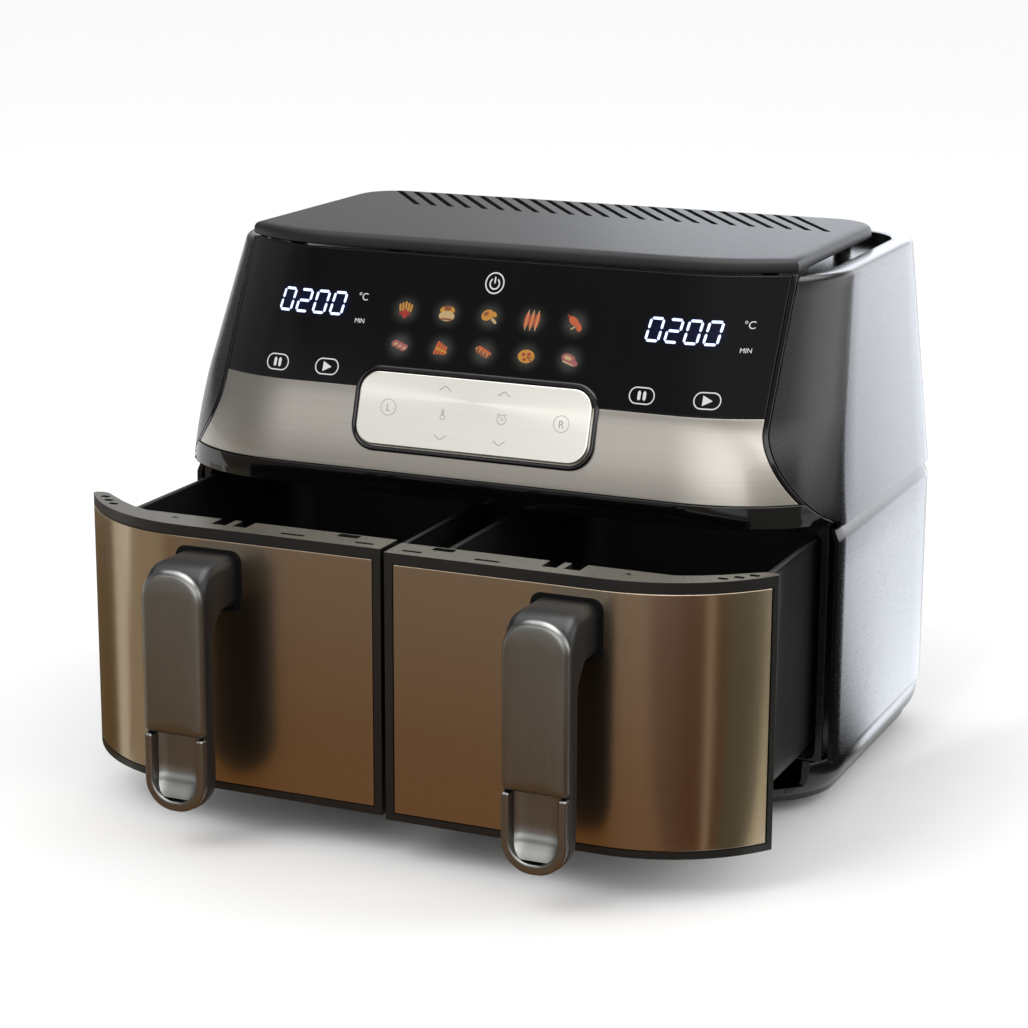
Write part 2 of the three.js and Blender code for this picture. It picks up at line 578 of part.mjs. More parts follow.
function buildDrawer({ name, sign, open }) {
  const group = new THREE.Group();
  group.scale.x = sign;
  group.position.y = -open;
  fryer.add(group);

  // The plastic front: a hollow bowed block with a steel-deep pocket and a top ledge.
  const tip = [[197.2, 42], [193, 44.8], [181, 38], [172, 31.2], [162, 25]];
  const outline = [[DRAWER.near, 0], ...faceLine(0), ...tip, [150, DRAWER.deep], [DRAWER.near, DRAWER.deep]];
  const pocket = planSolid(
    faceBand(STEEL.near - GAP, -2, STEEL.thick + GAP, DRAWER.turn + 0.4),
    STEEL.low - GAP,
    STEEL.top + GAP,
  );
  const hollowPlan = [[7, 6], [118, 6], [138, 9.5], [150, 14.5], [150, DRAWER.deep + 5], [7, DRAWER.deep + 5]];
  let front = planSolid(polygon(outline), DRAWER.low, DRAWER.top)
    .subtract(pocket)
    .subtract(planSolid(polygon(hollowPlan), DRAWER.low + 4, DRAWER.top - 4));
  for (const [x0, x1, y0, y1] of [
    [9, 20, 2.8, 5.2],
    [49, 63, 2.8, 5.2],
    [86, 93, 5.5, 22],
    [96.5, 104, 5.5, 22],
  ])
    front = front.subtract(boxSolid(x0, x1, y0, y1, DRAWER.top - 8, DRAWER.top + 2));
  add(`drawer_front_${name}`, front, blackPlastic, group);

  const steel = planSolid(faceBand(STEEL.near, 0, STEEL.thick, DRAWER.turn), STEEL.low, STEEL.top);
  add(`steel_front_${name}`, steel, brushedSteel, group);

  // The pan: an open bucket with round corners, widest at the bowed front, and a rim.
  const bucket = (inset, z0, z1) => planSolid(panOutline(inset), z0, z1, 3);
  const pan = bucket(1.5, PAN.low, PAN.top)
    .add(bucket(0, PAN.top - 2, PAN.top))
    .subtract(bucket(1.5 + PAN.wall, PAN.low + PAN.wall, PAN.top + 1));
  add(`pan_${name}`, pan, nonStick, group);

  // The crisper plate: a slotted tray that stands on short legs in the pan.
  const inset = PAN.wall + 1.5 + PLATE.margin;
  let plate = bucket(inset, PLATE.z, PLATE.z + PLATE.thick)
    .add(bucket(inset, PLATE.z, PLATE.z + 6).subtract(bucket(inset + PLATE.thick, PLATE.z - 1, PLATE.z + 7)));
  for (const x of [40, 153])
    for (const y of [48, 206])
      plate = plate.add(boxSolid(x - 4, x + 4, y - 4, y + 4, PAN.low + PAN.wall + GAP, PLATE.z + 0.5));
  for (let row = 0; row < 4; row++)
    for (let column = 0; column < 4; column++) {
      const x = 58 + 23 * column;
      const y = 44 + 43 * row;
      plate = plate.subtract(boxSolid(x, x + 6, y, y + 33, PLATE.z - 1, PLATE.z + 3));
    }
  add(`crisper_plate_${name}`, plate, nonStick, group);

  const [body, cover, scoop] = handleSolids();
  add(`handle_${name}`, body, blackPlastic, group);
  add(`handle_cover_${name}`, cover, satinSilver, group);
  add(`handle_scoop_${name}`, scoop, satinSilver, group);
}

buildBase();
buildLowerShell();
buildUpperShell();
buildTop();
buildFascia();
buildFrontFrame();
buildElectronics();
SIDES.forEach(buildChamber);
SIDES.forEach(buildDrawer);

export default fryer;
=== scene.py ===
"""The finished looks of a dual-drawer air fryer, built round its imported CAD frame.

Every length below is in millimetres in the body's own layout: y = 0 is the plane of the drawer
fronts when they are shut, x = 0 is the middle, z = 0 is the worktop. seat() turns a finished
mesh into metres and puts it in the frame.
"""

import json
import math
import bmesh
import bpy
from mathutils import Matrix, Vector


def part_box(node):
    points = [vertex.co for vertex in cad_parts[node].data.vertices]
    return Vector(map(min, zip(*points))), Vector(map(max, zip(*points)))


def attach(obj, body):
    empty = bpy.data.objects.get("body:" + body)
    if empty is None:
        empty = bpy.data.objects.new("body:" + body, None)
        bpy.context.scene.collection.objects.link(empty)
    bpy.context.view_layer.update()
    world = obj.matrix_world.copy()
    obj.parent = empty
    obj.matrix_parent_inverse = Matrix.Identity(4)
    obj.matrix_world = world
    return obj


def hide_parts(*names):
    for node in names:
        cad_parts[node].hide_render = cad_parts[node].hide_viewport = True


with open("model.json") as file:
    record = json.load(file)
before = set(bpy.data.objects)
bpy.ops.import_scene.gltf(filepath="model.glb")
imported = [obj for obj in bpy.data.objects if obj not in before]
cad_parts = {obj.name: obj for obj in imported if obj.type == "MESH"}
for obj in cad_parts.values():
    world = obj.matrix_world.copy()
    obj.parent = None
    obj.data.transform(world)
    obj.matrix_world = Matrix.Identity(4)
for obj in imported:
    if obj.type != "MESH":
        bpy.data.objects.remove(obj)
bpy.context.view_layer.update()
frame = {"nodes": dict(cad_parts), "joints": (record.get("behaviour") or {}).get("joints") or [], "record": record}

bl_info = {
    "name": "Dual-drawer air fryer",
    "version": (1, 0, 0),
    "blender": (4, 5, 0),
    "location": "View3D > Sidebar > Fryer",
    "description": "Builds the detailed pieces of a dual-drawer air fryer round its CAD frame",
    "category": "Object",
}

MM = 0.001
SIDES = {"left": -1, "right": 1}

# ---- sizes --------------------------------------------------------------------------------


def joint_named(name):
    return next(joint for joint in frame["joints"] if joint["name"] == name)


# How far each drawer stands open, and where the shut drawers' faces are in the frame.
OPEN = {side: -joint_named(f"{side}_drawer_slide")["range_m"][0] / MM for side in SIDES}
FACE_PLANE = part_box("steel_front_right")[0].y / MM + OPEN["right"]

# The body's plan just above the drawers and at the rim, and where the upper body starts and ends.
PLAN_LOW = {"corner_x": 76, "corner_y": 56, "side": 195, "rear": 250, "rear_radius": 40}
PLAN_HIGH = {"corner_x": 79, "corner_y": 62, "side": 181, "rear": 246, "rear_radius": 38}
SPLIT_LOW = 162.2
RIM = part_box("upper_shell")[1].z / MM
RIM_WIDTH = 12
FASCIA_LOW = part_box("fascia_frame")[0].z / MM
FASCIA_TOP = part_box("fascia_frame")[1].z / MM
TRIM_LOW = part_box("steel_trim")[0].z / MM
TRIM_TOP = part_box("steel_trim")[1].z / MM
LEAN = {"start": 165, "knee": 218, "step": 9, "slope": 0.42}
SEAM = {"low": 192.5, "waist": 161.2, "waist_z": 216, "top": 162, "top_z": 292, "flare": 1.6}
PAD = {"x": 68, "z": 212.6, "half": 20, "y": 4.7, "lean": 0.31, "corner": 11}
COVER = {"low": 293.1, "top": 300.4, "half": 162, "rear": 217, "radius": 26}
SLOT = {"count": 24, "pitch": 11, "width": 4, "rise": 50, "run": 36, "rear": 211}
DRAWER = {"near": 2.2, "flat": 119, "radius": 94, "turn": 54, "low": 22.3, "top": 165.2, "deep": 20}
STEEL = {"low": 26.5, "top": 159.2, "near": 7, "thick": 1.1}
PAN = {"near": 12, "far": 181, "front": 20.4, "rear": 233, "bow": 40, "corner": 22}
HANDLE_X = 102
# Where the shells' front edges stand to the side, and the depth of a cut through the rear wall.
SHELL_EDGE = {"upper": 194.1, "lower": 193.75}
REAR_CUT = (236, 262)
GRILLE = {"x": 88, "half": 44, "low": 206, "high": 262, "corner": 6, "gap": 0.3}
GRILLE_SLOT = {"count": 9, "low": 210.5, "pitch": 5.6, "height": 3.2, "half": 39, "corner": 1.5}
FOOT = {"x": 148, "front": 62, "rear": 224}
GLAND = {"x": 118, "y": 242.2, "z": 52, "half": 7, "corner": 6.9}
# Marks: how proud they stand, the figures on the displays, the rows of symbols, the buttons.
MARK_HEIGHT = 0.12
FIGURE = {"start": -20.4, "pitch": 10.6, "low": 258.0, "width": 7.0, "height": 11.2}
FIGURE_SLANT = 0.17
FIGURE_STROKE = 1.35
DISPLAY_X = (-107, 111)
SYMBOL = {"x": -50, "pitch": 25, "z": 263.0, "drop": 18.2, "columns": 5, "rows": 2}
BUTTON = {"z": 230.6, "half": 7.2, "radius": 4.3, "line": 0.6, "bar": 2.5}
BUTTON_X = ((-122.6, -91.6, -76.5), (93.6, 129.2, 144.2))
POWER_Z = 280.2
POWER_INNER_Z = 279.9
THERMOMETER_X = -17
CLOCK_X = 17.5

# ---- geometry helpers ---------------------------------------------------------------------


def mix(a, b, t):
    return a + (b - a) * t


def plan_at(z):
    """The body's plan at a height, with how far its front stands back."""
    t = min(max((z - SPLIT_LOW) / (RIM - SPLIT_LOW), 0), 1)
    plan = {key: mix(PLAN_LOW[key], PLAN_HIGH[key], t) for key in PLAN_LOW}
    plan["front"] = lean_at(z)
    return plan


def lean_at(z):
    """How far the fascia's middle leans back from the drawer plane at a height."""
    t = max(0, (z - LEAN["start"]) / (LEAN["knee"] - LEAN["start"]))
    if z <= LEAN["knee"]:
        return LEAN["step"] * t**2
    return LEAN["step"] + LEAN["slope"] * (z - LEAN["knee"])


def front_y(x, z, inset=0.0):
    """The y of the body's bowed front at x and z, moved inwards by inset."""
    plan = plan_at(z)
    flat = plan["side"] - plan["corner_x"]
    reach = (abs(x) - flat) / (plan["corner_x"] - inset)
    if reach <= 0:
        return plan["front"] + inset
    across = math.sqrt(max(0, 1 - min(reach, 1) ** 2))
    return plan["front"] + plan["corner_y"] - (plan["corner_y"] - inset) * across


def seam_x(z):
    """Half the fascia's width at a height: narrow at the waist, flaring out at the foot."""
    if z >= SEAM["waist_z"]:
        up = (z - SEAM["waist_z"]) / (SEAM["top_z"] - SEAM["waist_z"])
        return mix(SEAM["waist"], SEAM["top"], up)
    t = min((SEAM["waist_z"] - z) / (SEAM["waist_z"] - FASCIA_LOW), 1)
    return SEAM["waist"] + (SEAM["low"] - SEAM["waist"]) * t ** SEAM["flare"]


def arc(cx, cy, radius, start, end, steps, radius_y=None):
    """Points along an arc or quarter ellipse, angles in degrees."""
    ry = radius if radius_y is None else radius_y
    angles = [math.radians(mix(start, end, i / steps)) for i in range(steps + 1)]
    return [(cx + radius * math.cos(a), cy + ry * math.sin(a)) for a in angles]


def rounded(x0, x1, y0, y1, radius, steps=6):
    """A rounded rectangle's outline, counterclockwise."""
    r = radius
    return [
        *arc(x1 - r, y0 + r, r, -90, 0, steps),
        *arc(x1 - r, y1 - r, r, 0, 90, steps),
        *arc(x0 + r, y1 - r, r, 90, 180, steps),
        *arc(x0 + r, y0 + r, r, 180, 270, steps),
    ]


def straight(a, b, steps):
    """Points between two ends, without the ends."""
    return [(mix(a[0], b[0], i / steps), mix(a[1], b[1], i / steps)) for i in range(1, steps)]


def grid(columns, rows, place, bm=None):
    """A sheet whose point (i, j) is moved to place(i, j)."""
    bm = bm or bmesh.new()
    made = bmesh.ops.create_grid(bm, x_segments=columns, y_segments=rows, size=1)["verts"]
    for vertex in made:
        i = round((vertex.co.x + 1) / 2 * columns)
        j = round((vertex.co.y + 1) / 2 * rows)
        vertex.co = place(i, j)
    return bm


def ring_of(bm, points):
    """A closed loop of edges through points."""
    corners = [bm.verts.new(point) for point in points]
    pairs = zip(corners, corners[1:] + corners[:1])
    return [bm.edges.new(pair) for pair in pairs]


def stack(rings, bm=None):
    """A closed skin over a stack of rings with equal counts."""
    bm = bm or bmesh.new()
    loops = [ring_of(bm, ring) for ring in rings]
    for low, high in zip(loops, loops[1:]):
        bmesh.ops.bridge_loops(bm, edges=low + high)
    for loop in (loops[0], loops[-1]):
        bmesh.ops.contextual_create(bm, geom=loop)
    bmesh.ops.recalc_face_normals(bm, faces=bm.faces[:])
    return bm


def levelled(levels, outline_of):
    """Rings at heights: each level is (z, inset), and outline_of(inset) gives its outline."""
    return [[(x, y, z) for x, y in outline_of(inset)] for z, inset in levels]


def prism(outline, low, high, axis="z", bm=None):
    """An outline pushed from low to high along an axis.

    The outline holds (x, y) for axis z, (x, z) for axis y and (y, z) for axis x.
    """
    place = {
        "z": lambda p, h: (p[0], p[1], h),
        "y": lambda p, h: (p[0], h, p[1]),
        "x": lambda p, h: (h, p[0], p[1]),
    }[axis]
    rings = [[place(point, height) for point in outline] for height in (low, high)]
    return stack(rings, bm=bm)


def cuboid(x0, x1, y0, y1, z0, z1, bm=None):
    return prism([(x0, y0), (x1, y0), (x1, y1), (x0, y1)], z0, z1, bm=bm)


def turned(profile, centre, steps=40, bm=None):
    """A profile of (radius, z) points turned about an upright axis through centre."""
    bm = bm or bmesh.new()
    points = [bm.verts.new((centre[0] + r, centre[1], z)) for r, z in profile]
    edges = [bm.edges.new(pair) for pair in zip(points, points[1:])]
    bmesh.ops.spin(
        bm,
        geom=points + edges,
        cent=(centre[0], centre[1], 0),
        axis=(0, 0, 1),
        angle=math.tau,
        steps=steps,
        use_merge=True,
    )
    bmesh.ops.remove_doubles(bm, verts=bm.verts[:], dist=1e-4)
    bmesh.ops.recalc_face_normals(bm, faces=bm.faces[:])
    return bm


def drape(bm, proud=0.0):
    """Wraps a flat mark, drawn in x and z with its height in y, onto the fascia."""
    for vertex in bm.verts:
        x, height, z = vertex.co
        vertex.co.y = front_y(x, z) - proud + height
    return bm


def mirrored(bm, side):
    """Flips a piece drawn for the right side when it is wanted on the left."""
    if SIDES[side] < 0:
        bmesh.ops.scale(bm, vec=(-1, 1, 1), verts=bm.verts[:])
        bmesh.ops.reverse_faces(bm, faces=bm.faces[:])
    return bm


# ---- finishing a piece --------------------------------------------------------------------


def seat(name, bm, material, body, slide=0.0):
    """Makes the finished object: metres, placed in the frame, riding on its CAD body."""
    bmesh.ops.translate(bm, vec=(0, FACE_PLANE - slide, 0), verts=bm.verts[:])
    bmesh.ops.scale(bm, vec=(MM, MM, MM), verts=bm.verts[:])
    mesh = bpy.data.meshes.new(name)
    bm.to_mesh(mesh)
    bm.free()
    mesh.materials.append(bpy.data.materials[material])
    piece = bpy.data.objects.new(name, mesh)
    bpy.context.scene.collection.objects.link(piece)
    if body:
        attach(piece, body)
    return piece


def settle(piece):
    """Applies a piece's modifiers to its mesh."""
    graph = bpy.context.evaluated_depsgraph_get()
    mesh = bpy.data.meshes.new_from_object(piece.evaluated_get(graph))
    piece.modifiers.clear()
    old, piece.data = piece.data, mesh
    bpy.data.meshes.remove(old)
    return piece


def walled(piece, thickness):
    """Gives a sheet its wall thickness, inwards."""
    wall = piece.modifiers.new("Wall", "SOLIDIFY")
    wall.thickness = thickness * MM
    wall.offset = -1
    wall.use_even_offset = True
    return piece


def carved(piece, tool):
    """Cuts a piece with another, which is used up."""
    cut = piece.modifiers.new("Cut", "BOOLEAN")
    cut.object = tool
    cut.operation = "DIFFERENCE"
    cut.solver = "EXACT"
    settle(piece)
    bpy.data.objects.remove(tool)
    return piece


def eased(piece, width=0.5, segments=3, angle=40):
    """Rounds a piece's sharp edges and shades it smooth."""
    for polygon in piece.data.polygons:
        polygon.use_smooth = True
    ease = piece.modifiers.new("Edge", "BEVEL")
    ease.width = width * MM
    ease.segments = segments
    ease.limit_method = "ANGLE"
    ease.angle_limit = math.radians(angle)
    ease.harden_normals = True
    ease.use_clamp_overlap = True
    return piece


def cutter(bm, slide=0.0):
    """A shape that only cuts: it rides on nothing and is gone once it is used."""
    return seat("cutter", bm, "dark_gap", None, slide)


def drawer_piece(name, bm, material, side, body="drawer"):
    """Seats a piece drawn for the right side on either side's drawer or crisper."""
    return seat(f"{name}_{side}", mirrored(bm, side), material, f"{side}_{body}", OPEN[side])


def drawer_cut(piece, bm, side):
    """Cuts a seated drawer piece with a shape drawn for the right side."""
    return carved(piece, cutter(mirrored(bm, side), OPEN[side]))


def smooth(piece, angle=35):
    """Shades a piece smooth, except across edges sharper than an angle."""
    for polygon in piece.data.polygons:
        polygon.use_smooth = True
    piece.data.set_sharp_from_angle(angle=math.radians(angle))
    return piece


# ---- materials ----------------------------------------------------------------------------


def linear(colour):
    """An sRGB hex colour as linear red, green, blue and alpha."""
    channels = [int(colour[i : i + 2], 16) / 255 for i in (1, 3, 5)]
    return (*[c / 12.92 if c <= 0.04045 else ((c + 0.055) / 1.055) ** 2.4 for c in channels], 1)


def add_node(tree, kind, inputs=(), **settings):
    """Adds a node, sets its settings, and sets or links its inputs."""
    made = tree.nodes.new("ShaderNode" + kind)
    for key, value in settings.items():
        setattr(made, key, value)
    for key, value in dict(inputs).items():
        if isinstance(value, bpy.types.NodeSocket):
            tree.links.new(value, made.inputs[key])
        else:
            made.inputs[key].default_value = value
    return made


def new_material(name, roughness, metallic=0.0, ior=1.5, **sockets):
    """A material with a Principled surface, returned with its tree and shader."""
    material = bpy.data.materials.new(name)
    material.use_nodes = True
    tree = material.node_tree
    shader = tree.nodes["Principled BSDF"]
    shader.inputs["Roughness"].default_value = roughness
    shader.inputs["Metallic"].default_value = metallic
    if not metallic:
        shader.inputs["IOR"].default_value = ior
    for key, value in sockets.items():
        shader.inputs[key.replace("_", " ")].default_value = value
    return material, tree, shader


def grain(tree, spacing, along=(1, 1, 1), detail=3.0, rough=0.55):
    """Noise with features of a size in millimetres, stretched along the axes by factors."""
    place = add_node(tree, "TexCoord").outputs["Object"]
    scale = [1 / (spacing * MM * factor) for factor in along]
    spread = add_node(tree, "Mapping", {"Vector": place, "Scale": scale})
    return add_node(
        tree,
        "TexNoise",
        {"Vector": spread.outputs[0], "Scale": 1.0, "Detail": detail, "Roughness": rough},
    ).outputs["Fac"]


def spread_between(tree, value, low, high, source=(0.3, 0.7)):
    """A value carried from its source range to another range."""
    return add_node(
        tree,
        "MapRange",
        {"Value": value, "From Min": source[0], "From Max": source[1], "To Min": low, "To Max": high},
    ).outputs["Result"]


def blended(tree, factor, first, second):
    """A colour between two colours by a factor."""
    node = add_node(tree, "Mix", data_type="RGBA")
    tree.links.new(factor, node.inputs["Factor"])
    for socket, value in (("A", first), ("B", second)):
        target = next(s for s in node.inputs if s.name == socket and s.type == "RGBA")
        if isinstance(value, bpy.types.NodeSocket):
            tree.links.new(value, target)
        else:
            target.default_value = linear(value)
    return next(s for s in node.outputs if s.type == "RGBA")


def bumped(tree, shader, height, strength, depth):
    """Raises the surface by a pattern, depth in millimetres."""
    bump = add_node(tree, "Bump", {"Height": height, "Strength": strength, "Distance": depth * MM})
    tree.links.new(bump.outputs["Normal"], shader.inputs["Normal"])


def moulded_plastic(name, dark, light, roughness, texture, strength, **sockets):
    """ABS from a spark-eroded mould: an even fine grain that breaks up the gloss."""
    _, tree, shader = new_material(name, roughness, ior=1.53, **sockets)
    patches = grain(tree, 30, detail=2)
    tree.links.new(blended(tree, patches, dark, light), shader.inputs["Base Color"])
    fine = grain(tree, texture, detail=4)
    tree.links.new(
        spread_between(tree, fine, roughness - 0.05, roughness + 0.07), shader.inputs["Roughness"]
    )
    bumped(tree, shader, fine, strength, 0.08)


def brushed_metal(name, dark, light, roughness, line, streak=120, **sockets):
    """Stainless steel rubbed with a belt: fine level lines that spread highlights up and down."""
    _, tree, shader = new_material(
        name, roughness, metallic=1.0, Anisotropic=0.55, Anisotropic_Rotation=0.25, **sockets
    )
    lines = grain(tree, line, (streak, streak, 1), detail=2, rough=0.5)
    tree.links.new(blended(tree, lines, dark, light), shader.inputs["Base Color"])
    wear = spread_between(tree, lines, roughness - 0.006, roughness + 0.008)
    tree.links.new(wear, shader.inputs["Roughness"])


def make_shell_abs():
    # Body mouldings: satin black ABS, fine grain, edges that catch a soft light.
    moulded_plastic("satin_black_abs", "#0b0b0c", "#101011", 0.24, 0.7, 0.1)


def make_cover_abs():
    # Top cover: the same ABS from a coarser mould, so it stays matt and dark grey.
    moulded_plastic(
        "matt_grey_abs", "#131314", "#181819", 0.48, 0.9, 0.25, Specular_IOR_Level=0.34
    )


def make_trim_abs():
    # Drawer surrounds: black ABS, a little shinier from handling.
    moulded_plastic("drawer_black_abs", "#0e0e0e", "#141413", 0.36, 0.8, 0.15)


def make_ledge_abs():
    # Drawer ledges: the same ABS in a lighter grey-brown, a painted sheen standing in for the light the ledge tops
    # reflect.
    moulded_plastic("ledge_abs_painted_sheen", "#454239", "#504c43", 0.3, 0.8, 0.1)


def make_handle_abs():
    # Handle bodies: black ABS with a soft satin skin.
    moulded_plastic("handle_black_abs", "#161617", "#1c1c1c", 0.38, 0.6, 0.08)


def make_gloss_acrylic():
    # Control window: black-backed cast acrylic, polished, with a trace of wiping haze.
    _, tree, shader = new_material(
        "black_acrylic", 0.06, ior=1.46, Coat_Weight=0.2, Coat_Roughness=0.03
    )
    haze = grain(tree, 60, detail=2)
    tree.links.new(blended(tree, haze, "#040405", "#070708"), shader.inputs["Base Color"])
    tree.links.new(spread_between(tree, haze, 0.045, 0.09), shader.inputs["Roughness"])


def make_steels():
    # Drawer skins: 430 stainless, level brushing, with the warm cast of a thin clear lacquer.
    # The lines are drawn at 1 mm, coarser than the real grit, so that they show at all.
    brushed_metal("brushed_stainless", "#b8a893", "#bfaf9a", 0.24, 1.0)
    # Fascia strip: the same steel, neutral, under a clear polished sheet.
    brushed_metal(
        "steel_under_acrylic",
        "#b3aea5",
        "#c3beb5",
        0.32,
        0.8,
        Coat_Weight=0.6,
        Coat_Roughness=0.03,
    )
    # Touch pad: brighter, finer brushing.
    brushed_metal("bright_brushed_steel", "#f0ece2", "#faf8f2", 0.3, 0.7)


def make_satin_chrome():
    # Handle covers: satin chrome on plastic, blasted before plating, so highlights are soft.
    _, tree, shader = new_material("satin_chrome", 0.34, metallic=1.0)
    cloud = grain(tree, 25, detail=2)
    tree.links.new(blended(tree, cloud, "#8c8d8b", "#959592"), shader.inputs["Base Color"])
    rub = grain(tree, 1.5, (1, 1, 14), detail=3)
    tree.links.new(spread_between(tree, rub, 0.32, 0.37), shader.inputs["Roughness"])


def make_nonstick():
    # Pans and crisper plates: sprayed PTFE coat, near black, with a slight orange peel.
    _, tree, shader = new_material("nonstick_coat", 0.4, ior=1.4)
    peel = grain(tree, 1.6, detail=3)
    speck = grain(tree, 0.7, detail=1)
    fleck = spread_between(tree, speck, 0, 1, (0.62, 0.72))
    tree.links.new(blended(tree, fleck, "#19191a", "#29292a"), shader.inputs["Base Color"])
    tree.links.new(spread_between(tree, peel, 0.32, 0.48), shader.inputs["Roughness"])
    bumped(tree, shader, peel, 0.25, 0.08)


def make_rubber():
    # Feet and cord gland: black moulded rubber, dull and slightly dusty.
    _, tree, shader = new_material("black_rubber", 0.8, ior=1.52)
    dust = grain(tree, 3, detail=5)
    tree.links.new(blended(tree, dust, "#101010", "#1f1e1d"), shader.inputs["Base Color"])
    bumped(tree, shader, dust, 0.3, 0.08)


def make_sheet_metal():
    # Cooking chambers: hot-dip aluminised sheet, whose spangle is a patchwork of greys.
    _, tree, shader = new_material("aluminised_sheet", 0.45, metallic=1.0)
    place = add_node(tree, "TexCoord").outputs["Object"]
    spangle = add_node(tree, "TexVoronoi", {"Vector": place, "Scale": 1 / (4 * MM)})
    grey = add_node(tree, "RGBToBW", {"Color": spangle.outputs["Color"]}).outputs[0]
    tree.links.new(blended(tree, grey, "#75787b", "#a3a6a9"), shader.inputs["Base Color"])
    tree.links.new(spread_between(tree, grey, 0.35, 0.55, (0, 1)), shader.inputs["Roughness"])


def make_inner_metals():
    # Heating tube: nickel alloy gone dark and blue-brown from heat.
    _, tree, shader = new_material("heated_alloy", 0.5, metallic=1.0)
    tree.links.new(
        blended(tree, grain(tree, 9, detail=4), "#2c2825", "#4c463f"), shader.inputs["Base Color"]
    )
    # Fans, motors, shafts: plain aluminium, turned and stamped.
    _, tree, shader = new_material("plain_aluminium", 0.38, metallic=1.0)
    fine = grain(tree, 0.8, (1, 1, 8), detail=3)
    tree.links.new(blended(tree, fine, "#a6a9ac", "#bfc1c3"), shader.inputs["Base Color"])
    bumped(tree, shader, fine, 0.1, 0.05)


def make_boards():
    # Circuit boards: glass-epoxy with green solder mask over copper tracks.
    _, tree, shader = new_material("green_circuit_board", 0.4, ior=1.55)
    place = add_node(tree, "TexCoord").outputs["Object"]
    tracks = add_node(
        tree,
        "TexBrick",
        {
            "Vector": place,
            "Scale": 1 / (9 * MM),
            "Color1": linear("#14502f"),
            "Color2": linear("#1a6139"),
            "Mortar": linear("#2f8a55"),
            "Mortar Size": 0.03,
        },
    )
    tree.links.new(tracks.outputs["Color"], shader.inputs["Base Color"])
    # Cooling fans, plungers, display housings: natural nylon, waxy and off-white.
    _, tree, shader = new_material("natural_nylon", 0.5, ior=1.53, Subsurface_Weight=0.1)
    cloud = grain(tree, 12, detail=3)
    tree.links.new(blended(tree, cloud, "#cfccc2", "#dedbd2"), shader.inputs["Base Color"])


def make_dark_gap():
    # The unlit depth of joints and slots: black with almost no gloss.
    _, tree, shader = new_material("dark_gap", 0.8, ior=1.3)
    dust = grain(tree, 2, detail=3)
    tree.links.new(blended(tree, dust, "#020202", "#050505"), shader.inputs["Base Color"])


def lit(name, colour, strength):
    """A small lamp behind a printed or moulded diffuser."""
    _, tree, shader = new_material(name, 0.5, Emission_Strength=strength)
    shader.inputs["Emission Color"].default_value = linear(colour)
    patch = grain(tree, 2.5, detail=1)
    tree.links.new(blended(tree, patch, "#0b0b0b", "#161616"), shader.inputs["Base Color"])


def make_lights(looks):
    # Display segments: blue-white light-emitting diodes behind black acrylic.
    lit("led_blue_white", "#c9d6ff", looks.segment_glow)
    # Printed marks: thin white screen print, lit from behind.
    lit("lit_white_print", "#f2f2f2", looks.mark_glow)
    for name, colour in SYMBOL_COLOURS.items():
        lit(f"lit_{name}_print", colour, looks.symbol_glow)


SYMBOL_COLOURS = {
    "red": "#a3281c",
    "gold": "#c98a24",
    "brown": "#8a4a1c",
    "orange": "#c65a22",
    "cream": "#c9a878",
    "rose": "#a35a58",
}


def make_etched():
    # Pad marks: laser-darkened steel, a soft grey against the bright pad.
    _, tree, shader = new_material("etched_grey", 0.5, metallic=0.6)
    fine = grain(tree, 0.6, detail=3)
    tree.links.new(blended(tree, fine, "#a7a39a", "#b9b5ac"), shader.inputs["Base Color"])


def make_halo(name, colour, strength):
    """Light scattered in the acrylic round a lit mark: it fades out from the middle."""
    material = bpy.data.materials.new(name)
    material.use_nodes = True
    tree = material.node_tree
    tree.nodes.clear()
    fade = add_node(tree, "Attribute", attribute_name="fade").outputs["Fac"]
    soft = add_node(tree, "Math", {0: fade, 1: 1.6}, operation="POWER").outputs[0]
    share = add_node(tree, "Math", {0: soft, 1: strength}, operation="MULTIPLY").outputs[0]
    glow = add_node(tree, "Emission", {"Color": linear(colour), "Strength": 1.0})
    clear = add_node(tree, "BsdfTransparent")
    both = add_node(tree, "MixShader", {0: share, 1: clear.outputs[0], 2: glow.outputs[0]})
    out = add_node(tree, "OutputMaterial")
    tree.links.new(both.outputs[0], out.inputs["Surface"])


def make_materials(looks):
    make_dark_gap()
    make_shell_abs()
    make_cover_abs()
    make_trim_abs()
    make_ledge_abs()
    make_handle_abs()
    make_gloss_acrylic()
    make_steels()
    make_satin_chrome()
    make_nonstick()
    make_rubber()
    make_sheet_metal()
    make_inner_metals()
    make_boards()
    make_lights(looks)
    make_etched()
    make_halo("grey_halo", "#8e8e88", 0.3)
    make_halo("blue_halo", "#4a5fd8", 0.045)


# The finish of each record slot, for CAD nodes that are shown as they are.
SLOT_FINISH = {
    "shell_plastic": "satin_black_abs",
    "cover_plastic": "matt_grey_abs",
    "gloss_panel": "black_acrylic",
    "brushed_steel": "brushed_stainless",
    "pad_steel": "bright_brushed_steel",
    "satin_silver": "satin_chrome",
    "sheet_steel": "aluminised_sheet",
    "nonstick_coat": "nonstick_coat",
    "rubber": "black_rubber",
    "circuit_board": "green_circuit_board",
    "aluminium": "plain_aluminium",
    "heater_steel": "heated_alloy",
    "pale_nylon": "natural_nylon",
}


def finish_kept_nodes():
    for part in frame["record"]["subparts"]:
        node = frame["nodes"][part["node"]]
        node.data.materials.clear()
        node.data.materials.append(bpy.data.materials[SLOT_FINISH[part["material_slot"]]])


# ---- body pieces --------------------------------------------------------------------------


def front_corner(plan, inset, start_angle, steps):
    """The round front corner of a plan, from an angle round to the side."""
    return arc(
        plan["side"] - plan["corner_x"],
        plan["front"] + plan["corner_y"],
        plan["corner_x"] - inset,
        start_angle,
        0,
        steps,
        plan["corner_y"] - inset,
    )


